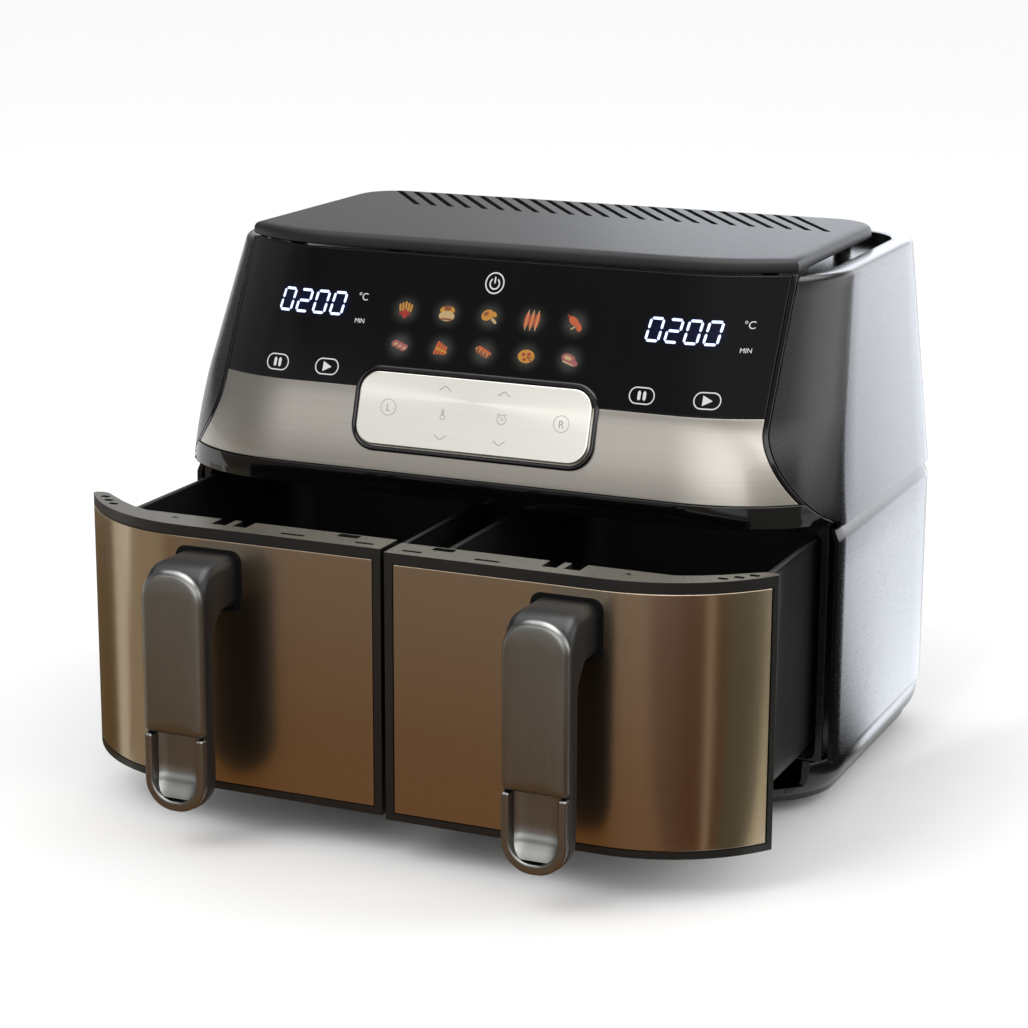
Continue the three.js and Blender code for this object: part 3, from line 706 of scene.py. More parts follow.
def rear_corner(plan, inset, steps):
    """The round rear corner of a plan, from the side round to the back."""
    r = plan["rear_radius"]
    return arc(plan["side"] - r, plan["rear"] - r, r - inset, 0, 90, steps)


def closed_plan(plan, inset):
    """The body's whole outline at one height, counterclockwise from the middle of the front."""
    start = plan["front"] + inset
    flat = plan["side"] - plan["corner_x"]
    corner = front_corner(plan, inset, -90, 16)
    rear = rear_corner(plan, inset, 12)
    half = [(0, start), (flat / 3, start), (flat / 1.5, start), *corner]
    end = (0, plan["rear"] - inset)
    half += straight(corner[-1], rear[0], 3) + rear + straight(rear[-1], end, 3)
    half.append(end)
    back = [(-x, y) for x, y in half[1:-1]]
    return half + back[::-1]


def shell_path(z, inset, start_angle):
    """The shell's outline from its right front edge round the back to its left front edge."""
    plan = plan_at(z)
    corner = front_corner(plan, inset, start_angle - 90, 12)
    rear = rear_corner(plan, inset, 14)
    end = (0, plan["rear"] - inset)
    right = corner + straight(corner[-1], rear[0], 8) + rear
    right += straight(rear[-1], end, 4) + [end]
    return right + [(-x, y) for x, y in right[:-1]][::-1]


def shell_sheet(levels):
    """A sheet through shell outlines; each level is (z, inset, start angle in degrees)."""
    paths = [(z, shell_path(z, inset, angle)) for z, inset, angle in levels]
    columns = len(paths[0][1]) - 1

    def place(i, j):
        z, path = paths[j]
        return (*path[i], z)

    return grid(columns, len(paths) - 1, place)


def edge_angle(z, inset, x_edge):
    """Where on the body's front corner an edge at x_edge falls, in degrees."""
    plan = plan_at(z)
    reach = (x_edge - plan["side"] + plan["corner_x"]) / (plan["corner_x"] - inset)
    return math.degrees(math.asin(min(reach, 0.9999)))


def grille_outline(sign, gap):
    """A rear vent's outline, drawn in by a gap."""
    x, half = sign * GRILLE["x"], GRILLE["half"] - gap
    low, high = GRILLE["low"] + gap, GRILLE["high"] - gap
    return rounded(x - half, x + half, low, high, GRILLE["corner"] - gap)


def build_upper_shell():
    seam_gap = 0.4
    rim_round = 3.0
    levels = []
    front_low = edge_angle(SPLIT_LOW, 0, SHELL_EDGE["upper"])
    for z, inset in ((SPLIT_LOW, 0.8), (SPLIT_LOW + 0.8, 0), (FASCIA_LOW - 0.2, 0)):
        levels.append((z, inset, front_low))
    for i in range(25):
        z = mix(FASCIA_LOW, RIM - rim_round, i / 24)
        levels.append((z, 0, edge_angle(z, 0, seam_x(z) + seam_gap)))
    for i in range(1, 7):
        a = math.radians(15 * i)
        z = RIM - rim_round * (1 - math.sin(a))
        inset = rim_round * (1 - math.cos(a))
        levels.append((z, inset, edge_angle(z, inset, SEAM["top"] + seam_gap)))
    for z, inset in ((RIM, RIM_WIDTH - 1), (RIM - 0.4, RIM_WIDTH), (RIM - 8, RIM_WIDTH + 0.4)):
        levels.append((z, inset, edge_angle(z, inset, SEAM["top"] + seam_gap)))
    shell = seat("upper_shell_skin", shell_sheet(levels), "satin_black_abs", "body")
    settle(walled(shell, 2.4))
    openings = bmesh.new()
    for sign in SIDES.values():
        prism(grille_outline(sign, 0), *REAR_CUT, "y", openings)
    carved(shell, cutter(openings))
    eased(shell, 0.4)
    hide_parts("upper_shell")


def build_lower_shell():
    angle = edge_angle(0, 0, SHELL_EDGE["lower"])
    levels = [(31.5, 0.8, angle), (32.3, 0, angle)]
    levels += [(mix(32.3, 154, i / 6), 0, angle) for i in range(1, 7)]
    for z, inset in ((155.2, 0.2), (156.2, 0.6), (160.8, 2.6), (161.7, 3.6)):
        levels.append((z, inset, angle))
    shell = seat("lower_shell_skin", shell_sheet(levels), "satin_black_abs", "body")
    settle(walled(shell, 2.6))
    x, z, half = GLAND["x"], GLAND["z"], GLAND["half"]
    hole = rounded(x - half, x + half, z - half, z + half, GLAND["corner"])
    carved(shell, cutter(prism(hole, *REAR_CUT, "y")))
    eased(shell, 0.4)
    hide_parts("lower_shell")


def build_grilles():
    for side, sign in SIDES.items():
        blank = prism(grille_outline(sign, GRILLE["gap"]), 244.3, 246.4, "y")
        plate = seat(f"rear_vent_{side}", blank, "satin_black_abs", "body")
        slots = bmesh.new()
        x, half = sign * GRILLE["x"], GRILLE_SLOT["half"]
        for i in range(GRILLE_SLOT["count"]):
            z = GRILLE_SLOT["low"] + GRILLE_SLOT["pitch"] * i
            slot = rounded(x - half, x + half, z, z + GRILLE_SLOT["height"], GRILLE_SLOT["corner"])
            prism(slot, 240, 250, "y", slots)
        carved(plate, cutter(slots))
        eased(plate, 0.3, 2)
        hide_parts(f"rear_grille_{side}")


def build_base():
    wide = {
        "corner_x": 76, "corner_y": 60, "side": 193.5, "front": 17.0, "rear": 250.2,
        "rear_radius": 39,
    }
    # From the middle underneath, out round the rim and down the inside to the floor.
    levels = (
        (4, 26), (4.0, 20), (4.6, 15.5), (6.2, 12), (9, 8.6), (12.5, 5.4), (16.2, 3.0), (19, 1.8),
        (22, 1.0), (26.4, 0.5), (29.8, 0.4), (30.6, 0.9), (31, 1.8), (31, 4), (20, 4.4), (7.5, 8),
        (7.2, 22),
    )
    rings = levelled(levels, lambda inset: closed_plan(wide, inset))
    tray = seat("base_tray", stack(rings), "satin_black_abs", "body")
    drawer_bay = cuboid(-200, 200, -10, 45.9, 16.4, 60)
    carved(tray, cutter(drawer_bay))
    eased(tray, 0.5)
    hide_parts("base_pan")


def build_feet():
    profile = (
        (0, 3.7), (10.4, 3.7), (10.5, 3.2), (9.4, 0.9), (8.6, 0.05), (4.6, 0.0), (4.2, 0.5), (0, 0.5),
    )
    for side, sign in SIDES.items():
        for end in ("front", "rear"):
            pad = turned(profile, (FOOT["x"] * sign, FOOT[end]))
            foot = seat(f"rubber_foot_{end}_{side}", pad, "black_rubber", "body")
            smooth(foot)
            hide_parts(f"foot_{end}_{side}")


def cover_outline(inset):
    """The top cover from above: a front that follows the fascia's bow, round rear corners."""
    half_width = COVER["half"] - inset
    across = [half_width * i / 16 for i in range(17)]
    front = [(x, front_y(x, COVER["low"], inset)) for x in across]
    r = COVER["radius"]
    rear = arc(COVER["half"] - r, COVER["rear"] - r, r - inset, 0, 90, 12)
    half = front + straight(front[-1], rear[0], 6) + rear
    half += straight(rear[-1], (0, rear[-1][1]), 6) + [(0, rear[-1][1])]
    return half + [(-x, y) for x, y in half[1:-1]][::-1]


def build_cover(looks):
    low, top = COVER["low"], COVER["top"]
    levels = (
        (low + 3, 5), (low, 3.2), (low, 1.0), (low + 0.6, 0.2), (low + 1.6, 0),
        (top - 3.2, 0.1), (top - 1.6, 0.9), (top - 0.6, 2.4), (top - 0.1, 4.6), (top, 8),
    )
    blank = stack(levelled(levels, cover_outline))
    cover = seat("vented_cover", blank, "matt_grey_abs", "body")
    slots = bmesh.new()
    middle = (looks.slot_count - 1) / 2
    for i in range(looks.slot_count):
        x = (i - middle) * SLOT["pitch"] - SLOT["run"] / 2
        w, rear = SLOT["width"], SLOT["rear"]
        far = (x + SLOT["run"], rear - SLOT["rise"])
        outline = [(x, rear), (x + 0.6, rear - 1.6), far, (far[0] + w, far[1]), (x + w, rear)]
        prism(outline, 297.2, 305, "z", slots)
    carved(cover, cutter(slots))
    eased(cover, 0.35, 2)
    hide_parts("top_cover")


# ---- fascia -------------------------------------------------------------------------------


def fascia_sheet(low, high, inset, sink=0.0, rows=20):
    """A bowed panel between two heights, inset from the seams and sunk below the surface."""
    columns = 72

    def place(i, j):
        z = mix(low, high, j / rows)
        x = mix(-1, 1, i / columns) * (seam_x(z) - inset)
        return (x, front_y(x, z) + sink, z)

    return grid(columns, rows, place)


def border_strip(sign, low, high, width, rows=30):
    """The narrow edge of the surround beside the panels."""

    def place(i, j):
        z = mix(low, high, j / rows)
        outer = seam_x(z)
        x = mix(outer - width, outer, i / 2) if sign > 0 else mix(-outer, -outer + width, i / 2)
        return (x, front_y(x, z), z)

    return grid(2, rows, place)


def build_surround():
    border = 2.4
    visor = fascia_sheet(FASCIA_LOW, TRIM_LOW - 0.3, 0, rows=4)
    band = seat("visor_band", visor, "black_acrylic", "body")
    walled(band, 4.6)
    eased(band, 0.8, 4)
    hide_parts("fascia_frame")
    behind = fascia_sheet(TRIM_LOW - 2, FASCIA_TOP - 0.2, 1.2, sink=1.7)
    backing = seat("fascia_backing", behind, "black_acrylic", "body")
    walled(backing, 2.8)
    smooth(settle(backing))
    for side, sign in SIDES.items():
        strip = border_strip(sign, TRIM_LOW - 0.3, FASCIA_TOP, border)
        edge = seat(f"fascia_edge_{side}", strip, "black_acrylic", "body")
        walled(edge, 4.4)
        eased(edge, 0.6, 3)
    shelf = cuboid(-150, 150, 9, 47.7, FASCIA_LOW, FASCIA_LOW + 2)
    sill = seat("visor_sill", shelf, "satin_black_abs", "body")
    eased(sill, 0.5)


def build_panels():
    border = 2.8
    glass = fascia_sheet(TRIM_TOP + 0.3, FASCIA_TOP - 0.4, border)
    window = seat("control_glass", glass, "black_acrylic", "body")
    walled(window, 1.2)
    eased(window, 0.35, 4)
    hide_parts("control_window")
    steel = fascia_sheet(TRIM_LOW, TRIM_TOP, border, rows=16)
    strip = seat("steel_strip", steel, "steel_under_acrylic", "body")
    walled(strip, 1.2)
    eased(strip, 0.3, 3)
    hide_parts("steel_trim")


def on_pad(bm, sink=0.0):
    """Moves a shape drawn upright round the origin onto the pad's leaning plane."""
    turn = Matrix.Rotation(-math.atan(PAD["lean"]), 4, "X")
    place = Matrix.Translation((0, PAD["y"], PAD["z"])) @ turn @ Matrix.Translation((0, sink, 0))
    bmesh.ops.transform(bm, matrix=place, verts=bm.verts[:])
    return bm


def pad_plate(extra, back, front):
    """A rounded plate on the pad's plane, grown by extra on all sides."""
    w, h = PAD["x"] + extra, PAD["half"] + extra
    return on_pad(prism(rounded(-w, w, -h, h, PAD["corner"] + extra, 10), front, back, "y"))


def build_pad():
    ring = seat("pad_ring", pad_plate(3.4, 8, 0.9), "black_acrylic", "body")
    carved(ring, cutter(pad_plate(0.7, 12, -3)))
    eased(ring, 1.5, 5)
    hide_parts("touch_bezel")
    pad = seat("pad_plate", pad_plate(0, 4.6, 0), "bright_brushed_steel", "body")
    eased(pad, 0.9, 5)
    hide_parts("touch_pad")


# ---- marks on the fascia ------------------------------------------------------------------

# The lit segments of each figure shown: a is the top one, then clockwise to f, and g is the middle.
SEGMENTS = {"0": "abcdef", "2": "abged"}


def bar(bm, x0, z0, x1, z1, width, depth=MARK_HEIGHT):
    """A straight stroke with pointed ends."""
    along = Vector((x1 - x0, z1 - z0)).normalized()
    across = Vector((-along.y, along.x)) * width / 2
    tip = along * width / 2
    a, b = Vector((x0, z0)), Vector((x1, z1))
    outline = [a, a + tip - across, b - tip - across, b, b - tip + across, a + tip + across]
    return prism([tuple(p) for p in outline], -depth, 0, "y", bm)


def raised(bm, made):
    """Raises a flat mark to its height and adds it to bm."""
    pushed = bmesh.ops.extrude_face_region(made, geom=made.faces[:])["geom"]
    fresh = [item for item in pushed if isinstance(item, bmesh.types.BMVert)]
    bmesh.ops.translate(made, vec=(0, -MARK_HEIGHT, 0), verts=fresh)
    bmesh.ops.recalc_face_normals(made, faces=made.faces[:])
    join(bm, made)


def ring_mark(bm, x, z, radius, width, start=0, end=360, steps=32):
    """A ring or an arc of even width, drawn flat."""
    turns = [mix(start, end, i / steps) for i in range(steps + 1)]

    def place(i, j):
        a = math.radians(turns[i])
        r = radius - width * j
        return (x + r * math.cos(a), 0, z + r * math.sin(a))

    made = grid(steps, 1, place)
    bmesh.ops.remove_doubles(made, verts=made.verts[:], dist=1e-4)
    raised(bm, made)


def join(bm, other):
    """Adds another bmesh to this one and frees it."""
    mesh = bpy.data.meshes.new("joined")
    other.to_mesh(mesh)
    other.free()
    bm.from_mesh(mesh)
    bpy.data.meshes.remove(mesh)


def pill_mark(bm, x, z, half, radius, width):
    """A capsule outline."""
    outer = rounded(x - half, x + half, z - radius, z + radius, radius - 0.01, 8)
    r = radius - width
    inner = rounded(x - half + width, x + half - width, z - r, z + r, r - 0.01, 8)
    made = bmesh.new()
    loops = [ring_of(made, [(px, 0, pz) for px, pz in line]) for line in (outer, inner)]
    bmesh.ops.bridge_loops(made, edges=loops[0] + loops[1])
    raised(bm, made)


def numeral(bm, figure, x, z):
    """One seven-segment figure with its lower left corner at x, z."""
    width, height = FIGURE["width"], FIGURE["height"]
    half = height / 2
    end_gap = 0.35
    corners = {
        "a": (0, height, width, height), "g": (0, half, width, half), "d": (0, 0, width, 0),
        "f": (0, half, 0, height), "b": (width, half, width, height),
        "e": (0, 0, 0, half), "c": (width, 0, width, half),
    }
    for name in SEGMENTS[figure]:
        x0, z0, x1, z1 = corners[name]
        start = Vector((x + x0 + FIGURE_SLANT * z0, z + z0))
        end = Vector((x + x1 + FIGURE_SLANT * z1, z + z1))
        trim = (end - start).normalized() * end_gap
        bar(bm, *(start + trim), *(end - trim), FIGURE_STROKE)


def build_displays():
    figures = bmesh.new()
    for centre in DISPLAY_X:
        for place, figure in enumerate("0200"):
            x = centre + FIGURE["start"] + FIGURE["pitch"] * place
            numeral(figures, figure, x, FIGURE["low"])
    piece = seat("display_figures", drape(figures, 0.02), "led_blue_white", "body")


def word(text, x, z, size):
    """Plain lettering as a flat mesh in x and z."""
    half_height = MARK_HEIGHT / 2
    curve = bpy.data.curves.new("letters", "FONT")
    curve.body = text
    curve.size = size
    curve.extrude = half_height
    curve.align_x = "CENTER"
    carrier = bpy.data.objects.new("letters", curve)
    bpy.context.scene.collection.objects.link(carrier)
    graph = bpy.context.evaluated_depsgraph_get()
    mesh = bpy.data.meshes.new_from_object(carrier.evaluated_get(graph))
    bpy.data.objects.remove(carrier)
    made = bmesh.new()
    made.from_mesh(mesh)
    bpy.data.meshes.remove(mesh)
    bmesh.ops.rotate(made, matrix=Matrix.Rotation(math.radians(90), 3, "X"), verts=made.verts[:])
    bmesh.ops.translate(made, vec=(x, -half_height, z), verts=made.verts[:])
    return made


def play_mark(bm, x, z, size):
    """A triangle that points right."""
    back, tip = x - size * 0.45, x + size * 0.55
    prism([(back, z - size / 2), (tip, z), (back, z + size / 2)], -MARK_HEIGHT, 0, "y", bm)


def build_window_marks():
    marks = bmesh.new()
    ring_mark(marks, 0, POWER_Z, 5.6, 0.7)
    ring_mark(marks, 0, POWER_INNER_Z, 3.1, 0.75, 125, 415, steps=24)
    bar(marks, 0, POWER_INNER_Z, 0, POWER_INNER_Z + 3.7, 0.8)
    z = BUTTON["z"]
    for pause_x, play_x, unit_x in BUTTON_X:
        for x in (pause_x, play_x):
            pill_mark(marks, x, z, BUTTON["half"], BUTTON["radius"], BUTTON["line"])
        for x in (pause_x - 1.5, pause_x + 1.5):
            bar(marks, x, z - BUTTON["bar"], x, z + BUTTON["bar"], 1.7)
        play_mark(marks, play_x, z, 5.2)
        join(marks, word("°C", unit_x, 266.2, 5.4))
        join(marks, word("MIN", unit_x, 254.4, 3.4))
    piece = seat("window_marks", drape(marks, 0.02), "lit_white_print", "body")


def build_pad_marks():
    marks = bmesh.new()
    for name, x in (("L", -49.5), ("R", 52)):
        ring_mark(marks, x, 0.8, 4.6, 0.35, steps=40)
        join(marks, word(name, x, -1.3, 5.8))
    for x in (THERMOMETER_X, CLOCK_X):
        for z, rise in ((13.8, 2.6), (-12.8, -2.6)):
            bar(marks, x - 3.6, z - rise / 2, x, z + rise / 2, 0.5)
            bar(marks, x, z + rise / 2, x + 3.6, z - rise / 2, 0.5)
    x = THERMOMETER_X
    ring_mark(marks, x, -1.6, 1.5, 0.35)
    pill_mark(marks, x, 1.0, 0.95, 0.94, 0.3)
    bar(marks, x, -1.2, x, 3.0, 0.4)
    x = CLOCK_X
    ring_mark(marks, x, 0, 2.7, 0.35)
    bar(marks, x, 0, x, 1.7, 0.35)
    bar(marks, x, 0, x + 1.4, -0.6, 0.35)
    for offset in (-2.4, 2.4):
        bar(marks, x + offset * 1.15, 2.2, x + offset * 0.6, 3.1, 0.45)
    piece = seat("pad_marks", on_pad(marks, 0.02), "etched_grey", "body")


def blob(bm, x, z, rx, rz, turn, depth):
    """A flat oval, turned by an angle in degrees."""
    steps = 20
    c, s = math.cos(math.radians(turn)), math.sin(math.radians(turn))
    outline = []
    for px, pz in arc(0, 0, rx, 0, 360 - 360 / steps, steps - 1, rz):
        outline.append((x + px * c - pz * s, z + px * s + pz * c))
    prism(outline, -depth, 0, "y", bm)


def symbol_shapes():
    """Ten plain food symbols as strokes and ovals: (colour, kind, numbers)."""
    fries = []
    for i in range(5):
        tip = 4.6 - abs(i - 2) * 0.7
        fries.append(("gold", "bar", (-3 + 1.5 * i, -1, -3.6 + 1.8 * i, tip, 1.1)))
    fries += [("red", "bar", (0, -4.6, 0, 0.9, 6.4))]
    bowl = [("gold", "oval", (-2.2, 1.8, 2.3, 1.5, 20)), ("gold", "oval", (2.0, 2.0, 2.4, 1.5, -20))]
    bowl += [("brown", "oval", (0, 2.6, 2.2, 1.3, 0)), ("cream", "oval", (0, -1.4, 4.6, 2.6, 0))]
    bowl += [("brown", "bar", (-3.4, -3.0, 3.4, -3.0, 1.0))]
    leg = [("gold", "oval", (-1.2, 0.8, 3.6, 2.7, 25)), ("brown", "oval", (-2.0, 1.4, 1.6, 1.0, 25))]
    leg += [("cream", "bar", (1.4, -0.6, 4.6, -3.2, 1.5)), ("gold", "oval", (2.6, 1.4, 1.8, 1.2, -30))]
    sticks = []
    for i in range(3):
        x = -3 + 3 * i
        sticks.append(("orange", "oval", (x, 0, 1.3, 4.2, -8)))
        sticks.append(("cream", "bar", (x - 0.5, -5.2, x + 0.6, 5.2, 0.4)))
    curl = [("orange", "oval", (-0.8, 1.2, 3.6, 1.9, -35)), ("orange", "oval", (2.4, -1.6, 2.2, 1.5, -70))]
    curl += [("red", "bar", (-3.2, 3.0, -5.0, 4.4, 0.7)), ("cream", "bar", (0.4, -1.4, -2.2, -2.8, 0.7))]
    slices = [("rose", "oval", (-2.6 + 2.6 * i, 0.8 - 0.9 * i, 2.4, 1.7, 20)) for i in range(3)]
    slices += [("cream", "oval", (-2.2 + 2.6 * i, 0.6 - 0.9 * i, 1.0, 0.6, 20)) for i in range(3)]
    wings = []
    for i in range(4):
        wings.append(("orange", "bar", (-4 + 1.9 * i, -3.2, -1.6 + 1.5 * i, 4.0 - 0.8 * i, 1.4)))
    wings += [("gold", "bar", (-3.4, 0.4, 3.6, -1.8, 1.0))]
    rack = [("brown", "bar", (-5, 1.6, 3.6, -2.2, 2.6)), ("orange", "bar", (-3.6, 3.0, 4.8, -0.8, 1.5))]
    for i in range(4):
        x = 2.2 * i
        rack.append(("cream", "bar", (-4 + x, 2.7 - 1.0 * i, -4.6 + x, 1.2 - 1.0 * i, 0.5)))
    pie = [("gold", "oval", (0, 0, 4.8, 3.4, 0)), ("red", "oval", (-1.6, 0.9, 1.1, 0.8, 0))]
    pie += [("red", "oval", (1.5, 1.2, 1.1, 0.8, 0)), ("brown", "bar", (0.2, 0, 3.6, -2.6, 0.7))]
    pie += [("red", "oval", (-0.8, -1.6, 1.1, 0.7, 0)), ("brown", "bar", (0.2, 0, 4.4, -0.6, 0.5))]
    cut = [("rose", "oval", (-0.6, 0.6, 4.2, 2.5, -15)), ("cream", "oval", (-1.0, 1.0, 2.4, 1.0, -15))]
    cut += [("rose", "oval", (3.0, -1.6, 1.9, 1.4, 0)), ("cream", "bar", (-4.0, -0.6, 2.6, -2.6, 0.7))]
    return [[fries, bowl, leg, sticks, curl], [slices, wings, rack, pie, cut]]


def symbol_centre(column, row):
    return (SYMBOL["x"] + SYMBOL["pitch"] * column, SYMBOL["z"] - SYMBOL["drop"] * row)


def build_symbols():
    layers = {name: bmesh.new() for name in SYMBOL_COLOURS}
    for row, shapes in enumerate(symbol_shapes()):
        for column, shape in enumerate(shapes):
            x, z = symbol_centre(column, row)
            for order, (colour, kind, numbers) in enumerate(shape):
                depth = MARK_HEIGHT + 0.05 * order
                bm = layers[colour]
                if kind == "bar":
                    x0, z0, x1, z1, width = numbers
                    bar(bm, x + x0, z + z0, x + x1, z + z1, width, depth)
                else:
                    ox, oz, rx, rz, turn = numbers
                    blob(bm, x + ox, z + oz, rx, rz, turn, depth)
    for name, bm in layers.items():
        piece = seat(f"food_symbols_{name}", drape(bm, 0.06), f"lit_{name}_print", "body")


def halo_disc(bm, x, z, rx, rz, layer):
    """A disc whose fade attribute falls from one in the middle to nought at the rim."""
    centre = bm.verts.new((x, 0, z))
    centre[layer] = 1.0
    previous = None
    rings = ((0.4, 0.62), (0.7, 0.25), (1.0, 0.0))
    for share, fade in rings:
        ring = []
        for px, pz in arc(x, z, rx * share, 0, 345, 23, rz * share):
            vertex = bm.verts.new((px, 0, pz))
            vertex[layer] = fade
            ring.append(vertex)
        pairs = list(zip(ring, ring[1:] + ring[:1]))
        if previous is None:
            for a, b in pairs:
                bm.faces.new((centre, a, b))
        else:
            inner = list(zip(previous, previous[1:] + previous[:1]))
            for (a, b), (c, d) in zip(pairs, inner):
                bm.faces.new((a, b, d, c))
        previous = ring


def build_halos():
    symbol_spots = []
    for column in range(SYMBOL["columns"]):
        for row in range(SYMBOL["rows"]):
            symbol_spots.append((*symbol_centre(column, row), 10.5, 9.5))
    display_spots = []
    for centre in DISPLAY_X:
        for i in range(4):
            display_spots.append((centre - 15.0 + FIGURE["pitch"] * i, 263.6, 9.5, 11))
    for name, material, spots in (
        ("symbol_halos", "grey_halo", symbol_spots),
        ("display_halos", "blue_halo", display_spots),
    ):
        for number, (x, z, rx, rz) in enumerate(spots):
            bm = bmesh.new()
            layer = bm.verts.layers.float.new("fade")
            halo_disc(bm, x, z, rx, rz, layer)
            bmesh.ops.recalc_face_normals(bm, faces=bm.faces[:])
            piece = seat(f"{name}_{number}", drape(bm, 0.03 + 0.006 * number), material, "body")


# ---- drawers ------------------------------------------------------------------------------


def face_point(distance, depth=0.0):
    """A point on the drawer's face, measured along it from the middle of the fryer."""
    if distance <= DRAWER["flat"]:
        return (distance, depth)
    a = (distance - DRAWER["flat"]) / DRAWER["radius"]
    r = DRAWER["radius"] - depth
    return (DRAWER["flat"] + r * math.sin(a), DRAWER["radius"] - r * math.cos(a))


FACE_END = DRAWER["flat"] + DRAWER["radius"] * math.radians(DRAWER["turn"])


def face_line(depth, near, far, flat_steps=10, bow_steps=28):
    """Points along the drawer's face at a depth behind it."""
    flat = [mix(near, DRAWER["flat"], i / flat_steps) for i in range(flat_steps)]
    bow = [mix(DRAWER["flat"], far, i / bow_steps) for i in range(bow_steps + 1)]
    return [face_point(distance, depth) for distance in flat + bow]


def build_drawer_moulding(side):
    outer_end = [
        (197.2, 41.6), (196.6, 43.6), (193.4, 44.8), (189, 44.2), (181, 38), (172, 31.2), (162, 25),
        (156, 22.2), (150, DRAWER["deep"]), (DRAWER["near"], DRAWER["deep"]),
    ]
    outline = face_line(0, DRAWER["near"], FACE_END) + outer_end
    block = prism(outline, DRAWER["low"], DRAWER["top"])
    piece = drawer_piece("drawer_moulding", block, "drawer_black_abs", side)
    # The pocket that the steel skin sits in, and the hollow behind it.
    gap = 0.4
    pocket = face_line(-2, STEEL["near"] - gap, FACE_END + 0.5)
    pocket += face_line(STEEL["thick"] + 0.2, STEEL["near"] - gap, FACE_END + 0.5)[::-1]
    cuts = prism(pocket, STEEL["low"] - gap, STEEL["top"] + gap)
    hollow = [(7, 6), (118, 6), (138, 9.5), (150, 14.5), (150, 25), (7, 25)]
    prism(hollow, DRAWER["low"] + 4, DRAWER["top"] - 4, bm=cuts)
    drawer_cut(piece, cuts, side)
    # Two slots, two slits, an arrow, a recess and a row of three pits in the ledge.
    top_cuts = bmesh.new()
    for x0, x1 in ((9, 20), (49, 63)):
        prism(rounded(x0, x1, 5.6, 8.2, 1.25), 158.5, 170, bm=top_cuts)
    for x0, x1 in ((84.5, 92.5), (96.5, 105)):
        cuboid(x0, x1, 8.8, 24, 156, 170, top_cuts)
    prism([(126.4, 12.6), (131.4, 11.6), (129.4, 14.6)], 162.6, 170, bm=top_cuts)
    prism(rounded(22, 34, 13.6, 19, 0.8), 162.9, 170, bm=top_cuts)
    for i in range(3):
        a = face_point(FACE_END - 8 - 9 * i, 5.0)
        hole = rounded(a[0] - 2.6, a[0] + 2.6, a[1] - 1.2, a[1] + 2.2, 0.8)
        prism(hole, 161.4, 170, bm=top_cuts)
    drawer_cut(piece, top_cuts, side)
    # The flat ledge tops get the lighter material: a painted sheen for the light they reflect.
    piece.data.materials.append(bpy.data.materials["ledge_abs_painted_sheen"])
    for polygon in piece.data.polygons:
        on_top = polygon.center.z > (DRAWER["top"] - 0.1) * MM
        polygon.material_index = 1 if on_top and polygon.normal.z > 0.9 else 0
    eased(piece, 0.9, 3, 35)
    piece.modifiers["Edge"].material = 0
    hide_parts(f"drawer_front_{side}")


def build_steel_skin(side):
    columns, rows = 60, 2
    path = face_line(0, STEEL["near"], FACE_END, 14, 46)

    def place(i, j):
        return (*path[i], mix(STEEL["low"], STEEL["top"], j / rows))

    skin = drawer_piece("steel_skin", grid(columns, rows, place), "brushed_stainless", side)
    walled(skin, STEEL["thick"])
    eased(skin, 0.55, 4)
    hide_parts(f"steel_front_{side}")


def pan_outline(inset):
    """The pan from above: its front outer corner follows the drawer's bow."""
    x0, x1 = PAN["near"] + inset, PAN["far"] - inset
    y0, y1 = PAN["front"] + inset, PAN["rear"] - inset
    bow, r = PAN["bow"] - inset, PAN["corner"] - inset
    bottom = arc(x1 - bow, y0 + bow, bow, -90, 0, 12)
    back = arc(x1 - r, y1 - r, r, 0, 90, 8)
    near = arc(x0 + r, y1 - r, r, 90, 180, 8)
    front = arc(x0 + r, y0 + r, r, 180, 270, 8)
    outline = []
    for part, following in ((bottom, back), (back, near), (near, front), (front, bottom)):
        outline += part + straight(part[-1], following[0], 4)
    return outline


def build_pan(side):
    # Up the outside from the bottom, over the rolled rim and down the inside.
    levels = (
        (34, 14), (34, 9), (34.5, 5.6), (36, 3.4), (39, 2.0), (44, 1.5), (100, 1.5), (150.6, 1.5),
        (152.6, 0.9), (153.6, 0.1), (154.5, 0), (155, 0.6), (155, 2.2), (154.4, 3.0), (150, 3.1),
        (60, 3.1), (46, 3.3), (41, 4.6), (37.8, 7.4), (36, 12), (35.6, 15.6),
    )
    pan = stack(levelled(levels, pan_outline))
    bucket = drawer_piece("cooking_pan", pan, "nonstick_coat", side)
    smooth(bucket, 50)
    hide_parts(f"pan_{side}")


def build_crisper(side):
    levels = (
        (46, 16), (46, 7.2), (46.3, 6.4), (47.2, 6.1), (51.4, 6.1), (52, 6.4), (52, 7.2),
        (51.6, 7.6), (48.6, 7.7), (47.8, 8.4), (47.5, 9.6), (47.5, 16.4),
    )
    plate = stack(levelled(levels, pan_outline))
    tray = drawer_piece("crisper_tray", plate, "nonstick_coat", side, "crisper")
    slots = bmesh.new()
    for row in range(6):
        for column in range(5):
            x = 47 + 19.5 * column + (6 if row % 2 else 0)
            y = 40 + 31 * row
            prism(rounded(x - 3, x + 3, y - 10, y + 11, 2.9, 4), 44, 50, bm=slots)
    drawer_cut(tray, slots, side)
    leg = ((0, 46.2), (4.4, 46.2), (4.2, 36.6), (3.6, 36.0), (0, 36.0))
    legs = bmesh.new()
    for x in (40, 153):
        for y in (48, 206):
            turned(leg, (x, y), 16, legs)
    studs = drawer_piece("crisper_legs", legs, "black_rubber", side, "crisper")
    smooth(studs)
    eased(tray, 0.25, 2)
    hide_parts(f"crisper_plate_{side}")


# ---- handles ------------------------------------------------------------------------------

GRIP = {"front": -38, "back": -26, "half": 18, "low": 22, "turn_z": 112, "turn_y": -13, "top": 152.5}


